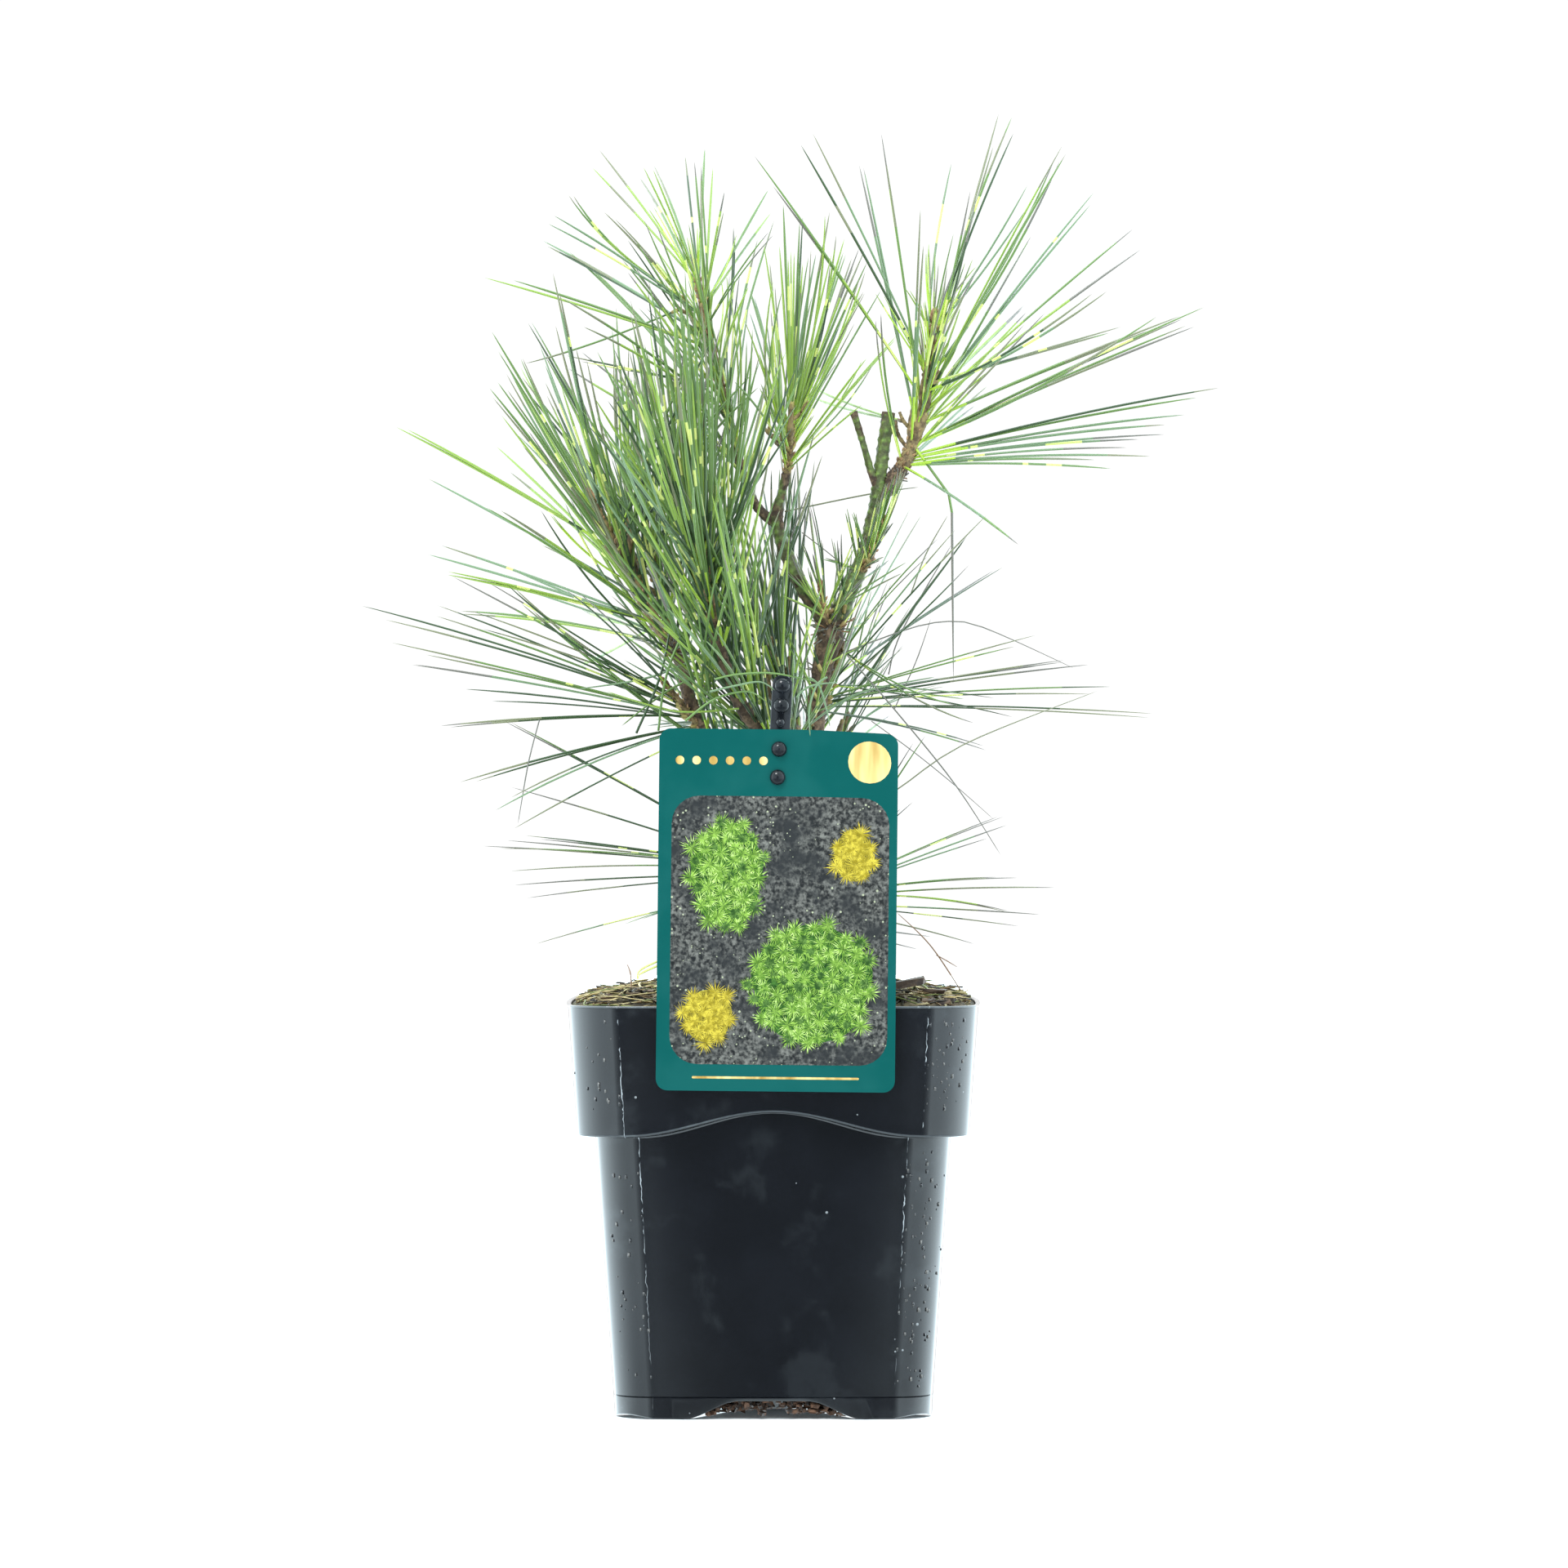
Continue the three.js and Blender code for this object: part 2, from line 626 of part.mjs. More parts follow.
function cardSolid() {
  const { width, height, corner, thickness } = CARD;
  const outline = new THREE.Shape();
  const halfWidth = width / 2;
  const halfHeight = height / 2;
  const quarter = Math.PI / 2;
  outline.absarc(halfWidth - corner, halfHeight - corner, corner, 0, quarter);
  outline.absarc(corner - halfWidth, halfHeight - corner, corner, quarter, 2 * quarter);
  outline.absarc(corner - halfWidth, corner - halfHeight, corner, 2 * quarter, 3 * quarter);
  outline.absarc(halfWidth - corner, corner - halfHeight, corner, 3 * quarter, 4 * quarter);
  const card = new THREE.ExtrudeGeometry(outline, {
    depth: thickness,
    bevelEnabled: false,
    curveSegments: 6,
  });
  card.translate(0, 0, -thickness / 2);
  let solid = solidOf(placeCard(card));
  pegPlaces()
    .filter(({ onCard }) => onCard)
    .forEach(({ place }) => {
      solid = solid.subtract(solidOf(pegGeometry(place, CARD.pegHole, 0, STAKE.width)));
    });
  return solid;
}

// Stretches of limbs and needles that a new needle keeps clear of.
const taken = [];

function takeSpace(owner, points, radii, needle = false) {
  for (let i = 0; i + 1 < points.length; i++) {
    const [a, b] = [points[i], points[i + 1]];
    const radius = Math.max(radii[i], radii[i + 1]);
    const free = needle && i === 0 ? a.clone().lerp(b, NEEDLE.rootRoom / a.distanceTo(b)) : a;
    taken.push({ owner, a, b, free, radius, needle });
  }
}

// The shortest distance between two straight stretches.
function stretchDistance(p1, q1, p2, q2) {
  const d1 = q1.clone().sub(p1);
  const d2 = q2.clone().sub(p2);
  const r = p1.clone().sub(p2);
  const a = d1.dot(d1);
  const e = d2.dot(d2);
  const f = d2.dot(r);
  const c = d1.dot(r);
  const b = d1.dot(d2);
  const clamp = (x) => THREE.MathUtils.clamp(x, 0, 1);
  const denominator = a * e - b * b;
  let s = denominator > 1e-9 ? clamp((b * f - c * e) / denominator) : 0;
  const t = clamp((b * s + f) / e);
  s = clamp((b * t - c) / a);
  return d1.multiplyScalar(s).add(p1).distanceTo(d2.multiplyScalar(t).add(p2));
}

function nearCard(p) {
  const [x, y] = CARD.centre;
  const beside = Math.abs(p.x - x) < CARD.width / 2 + CARD.clear;
  return beside && p.z < cardTop() + CARD.clear && p.y < y + CARD.clearBehind;
}

function nearStake(p) {
  const beside = Math.abs(p.x - STAKE.bend[0]) < STAKE.width;
  return beside && p.y < STAKE.tip[1] + CARD.clear && p.z < STAKE.top[2] + CARD.clear;
}

// Whether a needle from root over bend to tip has room of its own.
function hasRoom(owner, root, bend, tip, radius) {
  for (let i = 1; i <= NEEDLE.places; i++) {
    const along = (2 * i) / NEEDLE.places;
    const p = along < 1 ? root.clone().lerp(bend, along) : bend.clone().lerp(tip, along - 1);
    if (p.z < NEEDLE.lowest || nearCard(p) || nearStake(p)) return false;
  }
  const clearOfRoot = root.clone().lerp(bend, NEEDLE.rootRoom / root.distanceTo(bend));
  return taken.every((other) => {
    const own = other.owner === owner;
    if (own && !other.needle) return true;
    const start = own ? clearOfRoot : root;
    const a = own ? other.free : other.a;
    const least = radius + other.radius + NEEDLE.clearance;
    const reach = Math.max(start.distanceTo(bend) + bend.distanceTo(tip), 1);
    const far = other.a.distanceTo(start) - other.a.distanceTo(other.b);
    if (far > reach + least) return true;
    return (
      stretchDistance(start, bend, a, other.b) > least &&
      stretchDistance(bend, tip, a, other.b) > least
    );
  });
}

// Points and radii along a stem, at a share of its length.
function alongStem(points, radii, share) {
  const scaled = share * (points.length - 1);
  const i = Math.min(Math.floor(scaled), points.length - 2);
  const along = points[i + 1].clone().sub(points[i]).normalize();
  return {
    place: points[i].clone().lerp(points[i + 1], scaled - i),
    radius: lerp(radii[i], radii[i + 1], scaled - i),
    along,
  };
}

// A direction at an angle from a stem, turned round it.
function leaving(along, angle, turn) {
  const side = ASKEW.clone().addScaledVector(along, -ASKEW.dot(along)).normalize();
  side.applyAxisAngle(along, radians(turn)).multiplyScalar(Math.sin(radians(angle)));
  return along.clone().multiplyScalar(Math.cos(radians(angle))).add(side);
}

// Whether a side twig keeps clear of every limb but its own stem.
function twigHasRoom(owner, points, radius) {
  return taken.every((other) => {
    if (other.owner === owner) return true;
    const least = radius + other.radius + 2 * NEEDLE.clearance;
    return points.slice(1).every((p, i) => stretchDistance(points[i], p, other.a, other.b) > least);
  });
}

// A shoot's stem and side twigs, as stretches that needles grow from.
function grownTwigs(shoot) {
  const random = randomFrom(shoot.seed);
  const stem = { points: shoot.stem.map(vector), radii: shoot.radii, sides: STEM_SIDES };
  const twigs = [stem];
  for (let i = 0; i < shoot.twigs; i++) {
    const share = lerp(TWIG.from, TWIG.to, (i + 0.5 * random()) / shoot.twigs);
    const { place, along } = alongStem(stem.points, stem.radii, share);
    const out = leaving(along, TWIG.spread, i * GOLDEN_ANGLE + 60 * random());
    const length = lerp(...TWIG.length, random());
    const middle = place.clone().addScaledVector(out, length / 2);
    const end = middle.clone().addScaledVector(out.lerp(along, 0.5).normalize(), length / 2);
    const points = [place, middle, end];
    if (!twigHasRoom(shoot.name, points, TWIG.radius[0])) continue;
    twigs.push({ points, radii: [TWIG.radius[0], ...TWIG.radius], sides: TWIG.sides });
  }
  twigs.forEach((twig) => takeSpace(shoot.name, twig.points, twig.radii));
  return { ...shoot, random, twigs };
}

// A point at depth y that is seen from the eye at x, z against the plane y = 0.
function onSightline(x, z, y) {
  const scale = (y - EYE[1]) / -EYE[1];
  return new THREE.Vector3(EYE[0] + (x - EYE[0]) * scale, y, EYE[2] + (z - EYE[2]) * scale);
}

// Whether a point, seen from the eye, lies inside an outline of [x, z] corners.
function seenInside(outline, point) {
  const scale = -EYE[1] / (point.y - EYE[1]);
  const x = EYE[0] + (point.x - EYE[0]) * scale;
  const z = EYE[2] + (point.z - EYE[2]) * scale;
  let inside = false;
  outline.forEach(([x1, z1], i) => {
    const [x2, z2] = outline[(i + 1) % outline.length];
    if (z1 > z !== z2 > z && x < x1 + ((z - z1) / (z2 - z1)) * (x2 - x1)) inside = !inside;
  });
  return inside;
}

// The outline a shoot's needles keep to, seen from the front: its corners in order round it.
function outlineOf(shoot) {
  const [x, , z] = shoot.stem[Math.floor(shoot.stem.length / 2)];
  const bearing = (corner) => Math.atan2(corner[1] - z, corner[0] - x);
  return [...shoot.reach, ...shoot.edge].sort((a, b) => bearing(a) - bearing(b));
}

function spreadAt(shoot, share) {
  return lerp(shoot.spread[0], shoot.spread[1], Math.sqrt(share));
}

// The needles that could reach a measured tip, from the best fit to the shoot's spread down.
function needlesTo([x, z], shoot, side) {
  const { twigs, random } = shoot;
  const stem = twigs[0];
  const length = lerp(...shoot.length, random());
  const arch = 2 * NEEDLE.arch * (NEEDLE.leastArch + random());
  const fits = [];
  for (let share = NEEDLE.stemSpan[0] / 2; share < 1; share += NEEDLE.rootStep) {
    const { place, along } = alongStem(stem.points, stem.radii, share);
    const level = onSightline(x, z, place.y).distanceTo(place);
    const depth = Math.sqrt(Math.max(length ** 2 - level ** 2, 0));
    NEEDLE.depthShares.forEach((way, i) => {
      const tip = onSightline(x, z, place.y + way * side * depth);
      const out = tip.clone().sub(place).normalize();
      const angle = THREE.MathUtils.radToDeg(out.angleTo(along));
      const short = Math.max(level - length, 0);
      const miss = Math.abs(angle - spreadAt(shoot, share)) + short + NEEDLE.depthCost * i;
      const bend = place.clone().lerp(tip, 0.5);
      bend.z += arch * bend.distanceTo(tip);
      fits.push({ place, out, bend, tip, miss });
    });
  }
  return fits.sort((a, b) => a.miss - b.miss);
}

// A needle of the spiral: its direction from the shoot's spread, with seeded scatter.
function needleAt(turn, share, twig, shoot, random) {
  const scatter = () => NEEDLE.wander * (2 * random() - 1);
  const { place, along } = alongStem(twig.points, twig.radii, share);
  const angle = spreadAt(shoot, share) + NEEDLE.spreadWander * scatter();
  const out = leaving(along, angle, turn + scatter());
  out.addScaledVector(vector(shoot.lean), NEEDLE.leanAtFoot - share).normalize();
  const length = lerp(...shoot.length, random());
  const bend = place.clone().addScaledVector(out, length / 2);
  const outer = out.clone();
  outer.z -= NEEDLE.droop * (NEEDLE.leastDroop + random());
  const tip = bend.clone().addScaledVector(outer.normalize(), length / 2);
  return { place, out, bend, tip };
}

// A needle's solid, if it has room; its root is sunk into the stem.
function grownNeedle({ place, out, bend, tip }, shoot) {
  const length = place.distanceTo(bend) + bend.distanceTo(tip);
  const thickness = Math.max(length * NEEDLE.thicknessShare, NEEDLE.leastThickness);
  const radius = NEEDLE.radiusShare * thickness;
  const root = place.clone().addScaledVector(out, -NEEDLE.rootDepth);
  if (!hasRoom(shoot.name, root, bend, tip, radius)) return null;
  takeSpace(shoot.name, [root, bend, tip], [radius, radius, radius], true);
  return solidOf(limbGeometry([root, bend, tip], [radius * NEEDLE.rootShare, radius, 0], NEEDLE.sides));
}

// A folded needle: it hangs straight from its fold, in front of its root.
function foldedNeedle({ root, forward, fold, end }, shoot) {
  const { place } = alongStem(shoot.twigs[0].points, shoot.radii, root);
  const bend = onSightline(...fold, place.y - forward);
  const tip = onSightline(...end, place.y - forward);
  return { place, out: bend.clone().sub(place).normalize(), bend, tip };
}

// One shoot: its stem and twigs, the needles that stand furthest out, and then needles
// spiralling up the stem by the golden angle.
function shootSolid(shoot, parent) {
  const { random, twigs } = shoot;
  const wood = twigs.map((twig) => solidOf(limbGeometry(twig.points, twig.radii, twig.sides)));
  const parts = [wasm.Manifold.union(wood).subtract(parent)];
  const outline = outlineOf(shoot);
  const grow = (needle) => {
    const solid = grownNeedle(needle, shoot);
    if (solid) parts.push(solid);
    return Boolean(solid);
  };
  if (shoot.folded) grow(foldedNeedle(shoot.folded, shoot));
  shoot.reach.forEach((tip, i) => needlesTo(tip, shoot, i % 2 ? 1 : -1).some(grow));
  for (let i = 0; i < shoot.needles; i++) {
    const twig = i % 3 === 2 ? twigs[i % twigs.length] : twigs[0];
    const up = (i + 0.5) / shoot.needles;
    const share = twig === twigs[0] ? lerp(...NEEDLE.stemSpan, up) : lerp(...NEEDLE.twigSpan, random());
    for (let attempt = 0; attempt < NEEDLE.tries; attempt++) {
      const turn = i * GOLDEN_ANGLE + attempt * NEEDLE.tryTurn;
      const needle = needleAt(turn, share, twig, shoot, random);
      if (seenInside(outline, needle.tip) && grow(needle)) break;
    }
  }
  return wholeBody(wasm.Manifold.union(parts).simplify(NEEDLE.merge));
}

// The woody limbs, each cut clear of what carries it.
const fatLimbs = {};
for (const limb of LIMBS) {
  const points = limb.path.map(vector);
  const along = points.at(-1).clone().sub(points.at(-2)).normalize();
  const longer = [...points.slice(0, -1), points.at(-1).clone().addScaledVector(along, GAP)];
  let solid = solidOf(limbGeometry(points, limb.radii, limb.sides));
  [limb.on, ...(limb.keepClearOf ?? [])]
    .filter(Boolean)
    .forEach((name) => (solid = solid.subtract(fatLimbs[name])));
  const fatRadii = limb.radii.map((radius) => radius + GAP);
  fatLimbs[limb.name] = solidOf(limbGeometry(longer, fatRadii, limb.sides));
  takeSpace(limb.name, points, limb.radii);
  addNode(limb.name, wholeBody(solid), limb.name === "trunk" ? COLOURS.bark : COLOURS.greenWood, 0.9);
}

addNode("pot", potSolid(), COLOURS.pot, 0.32);
addNode("soil", soilSolid(stakeSolid(GAP)), COLOURS.soil, 1);
addNode("label_stake", stakeSolid(), COLOURS.stake, 0.3);
addNode("label_card", cardSolid(), COLOURS.card, 0.35);
for (const shoot of SHOOTS.map(grownTwigs)) {
  addNode(shoot.name, shootSolid(shoot, fatLimbs[shoot.on]), COLOURS.needles, 0.55);
}

export default group;
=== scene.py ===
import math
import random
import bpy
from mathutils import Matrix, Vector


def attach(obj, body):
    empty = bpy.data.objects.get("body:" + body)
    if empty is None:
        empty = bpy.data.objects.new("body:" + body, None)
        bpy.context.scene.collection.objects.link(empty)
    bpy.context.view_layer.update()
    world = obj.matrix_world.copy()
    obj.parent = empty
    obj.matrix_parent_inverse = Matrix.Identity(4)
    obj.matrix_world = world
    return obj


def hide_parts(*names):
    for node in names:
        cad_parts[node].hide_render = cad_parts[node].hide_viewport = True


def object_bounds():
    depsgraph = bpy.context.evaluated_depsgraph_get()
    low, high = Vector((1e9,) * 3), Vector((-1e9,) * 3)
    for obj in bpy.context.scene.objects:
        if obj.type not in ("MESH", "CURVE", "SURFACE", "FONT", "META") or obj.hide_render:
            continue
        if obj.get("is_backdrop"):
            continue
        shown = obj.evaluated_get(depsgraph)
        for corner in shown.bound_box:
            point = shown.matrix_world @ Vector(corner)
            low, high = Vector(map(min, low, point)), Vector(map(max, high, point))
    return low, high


bl_info = {
    "name": "Young potted pine",
    "version": (1, 0, 0),
    "blender": (4, 5, 0),
    "location": "3D View > Sidebar > Pine",
    "description": "Dresses a young dragon's eye pine in its square nursery pot, with a picture card",
    "category": "Object",
}

import bmesh
import bpy
import numpy as np
from bpy.props import FloatProperty, FloatVectorProperty, IntProperty, PointerProperty
from mathutils import Matrix, Vector, noise

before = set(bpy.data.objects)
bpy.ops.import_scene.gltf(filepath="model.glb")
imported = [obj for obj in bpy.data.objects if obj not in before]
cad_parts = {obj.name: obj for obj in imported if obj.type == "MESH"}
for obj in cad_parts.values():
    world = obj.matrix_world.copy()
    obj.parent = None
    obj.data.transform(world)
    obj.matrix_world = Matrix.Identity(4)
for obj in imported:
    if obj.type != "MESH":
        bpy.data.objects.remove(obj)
CAD_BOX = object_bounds()
MM = 0.001
BODY = "root"

# The woody parts, in millimetres: centre line and radii, how brown the bark is, how far its relief
# stands out, and whether the limb ends in a saw cut.
LIMBS = {
    "trunk": {
        "path": [(3.4, 4, 169), (3.4, 4, 177), (5, 3.6, 186), (9, 2, 230), (14.5, 0.6, 262),
                 (18.5, 0, 290), (20.5, 0, 303), (23.3, 0, 313), (24.6, 0, 319)],
        "radii": [9.6, 7.4, 5.9, 5.2, 4.6, 3.9, 4.2, 5.7, 4.6],
        "brown": 0.8, "relief": 1.0,
    },
    "bough_left": {
        "path": [(8, 2, 222), (-6, -4, 244), (-24, -8, 268), (-33.5, -10, 286), (-37.3, -10, 302),
                 (-44.3, -9, 313.5)],
        "radii": [4.4, 3.6, 3, 2.7, 2.6, 2.6],
        "brown": 0.5, "relief": 0.8,
    },
    "bough_centre": {
        "path": [(12.8, 1, 252), (-2, -10, 270), (-14, -20, 287), (-21, -26, 305), (-24.5, -29.5, 320)],
        "radii": [3.8, 3.2, 2.9, 2.6, 2.5],
        "brown": 0.5, "relief": 0.8,
    },
    "bough_middle": {
        "path": [(24, 0.5, 314), (18.4, 2.5, 324.5), (12.3, 4, 333), (5.9, 5, 346), (1.5, 6, 360),
                 (3, 6, 371), (5.6, 5, 381)],
        "radii": [4.2, 3.6, 3.3, 3, 2.8, 2.1, 1.6],
        "brown": 0.3, "relief": 0.75,
    },
    "bough_leader": {
        "path": [(1.8, 6, 359), (-7.3, 8, 367.7), (-13.7, 10, 384.3), (-18.7, 9, 405.5)],
        "radii": [2.4, 1.9, 1.9, 1.8],
        "brown": 0.4, "relief": 0.4,
    },
    "bough_right": {
        "path": [(24.4, 0, 316), (31, -0.5, 332), (35.4, -1, 342), (39.5, -1, 357), (42.3, -1, 371),
                 (44.2, -0.5, 385), (47, 0, 405)],
        "radii": [4.3, 3.7, 3.3, 2.9, 2.8, 2.7, 2.8],
        "brown": 0.16, "relief": 0.8, "cut": True,
    },
    "cut_side_stub": {
        "path": [(42.6, -1, 374), (40, -2.5, 380), (35.8, -4, 394.7), (32.5, -5, 405)],
        "radii": [1.9, 1.5, 1.4, 1.7],
        "brown": 0.25, "relief": 0.4, "cut": True,
    },
    "bough_top_right": {
        "path": [(42.6, -0.8, 369.5), (46.5, 0, 373.6), (49, 0.5, 377.4), (52.3, 0.8, 382.6)],
        "radii": [2.6, 3.1, 3.5, 3],
        "brown": 0.85, "relief": 0.6,
    },
}

# The shoots, by the source's rule. A stem runs from its bough to its bud, with "twigs" at its sides.
# "pairs" of needles leave it at "spread" degrees from foot to bud, and lean, and "young" ones stand
# near the bud. "shortest" is the least share of the greatest length, and "girth" a factor of width.
# "reach" and "edge" are corners of the outline that the needles keep to, as seen from the front,
# and a needle grows to each corner of "reach". "foot" is a stretch of bough below the stem that
# carries needles too, and "cover" counts those that lie over its front. A "bare" stem has no scales.
# "tones" are the shares up to which needles are fresh, mid and dark green, where the rest are
# blue-green; the dark green is partly painted shade, and shoots in shade get more of it. "grey" is
# the share of grey ends, "lime" the share of pale feet, and "shade" says how far up from its foot a
# needle may be painted dark, as painted shade.
USUAL_SHOOT = {
    "foot": [], "reach": [], "young": 0, "twigs": 0, "cover": 0, "shortest": 0.6, "girth": 1.0,
    "bare": False, "tones": (0.34, 0.6, 0.76), "lime": 0.35, "shade": 0.1, "folded": None,
}
# Tones with more dark green, for shoots in shade: painted shade.
SHADED_TONES = (0.12, 0.45, 0.82)


def shoot_of(name, seed, **given):
    return {**USUAL_SHOOT, "name": name, "seed": seed, **given}


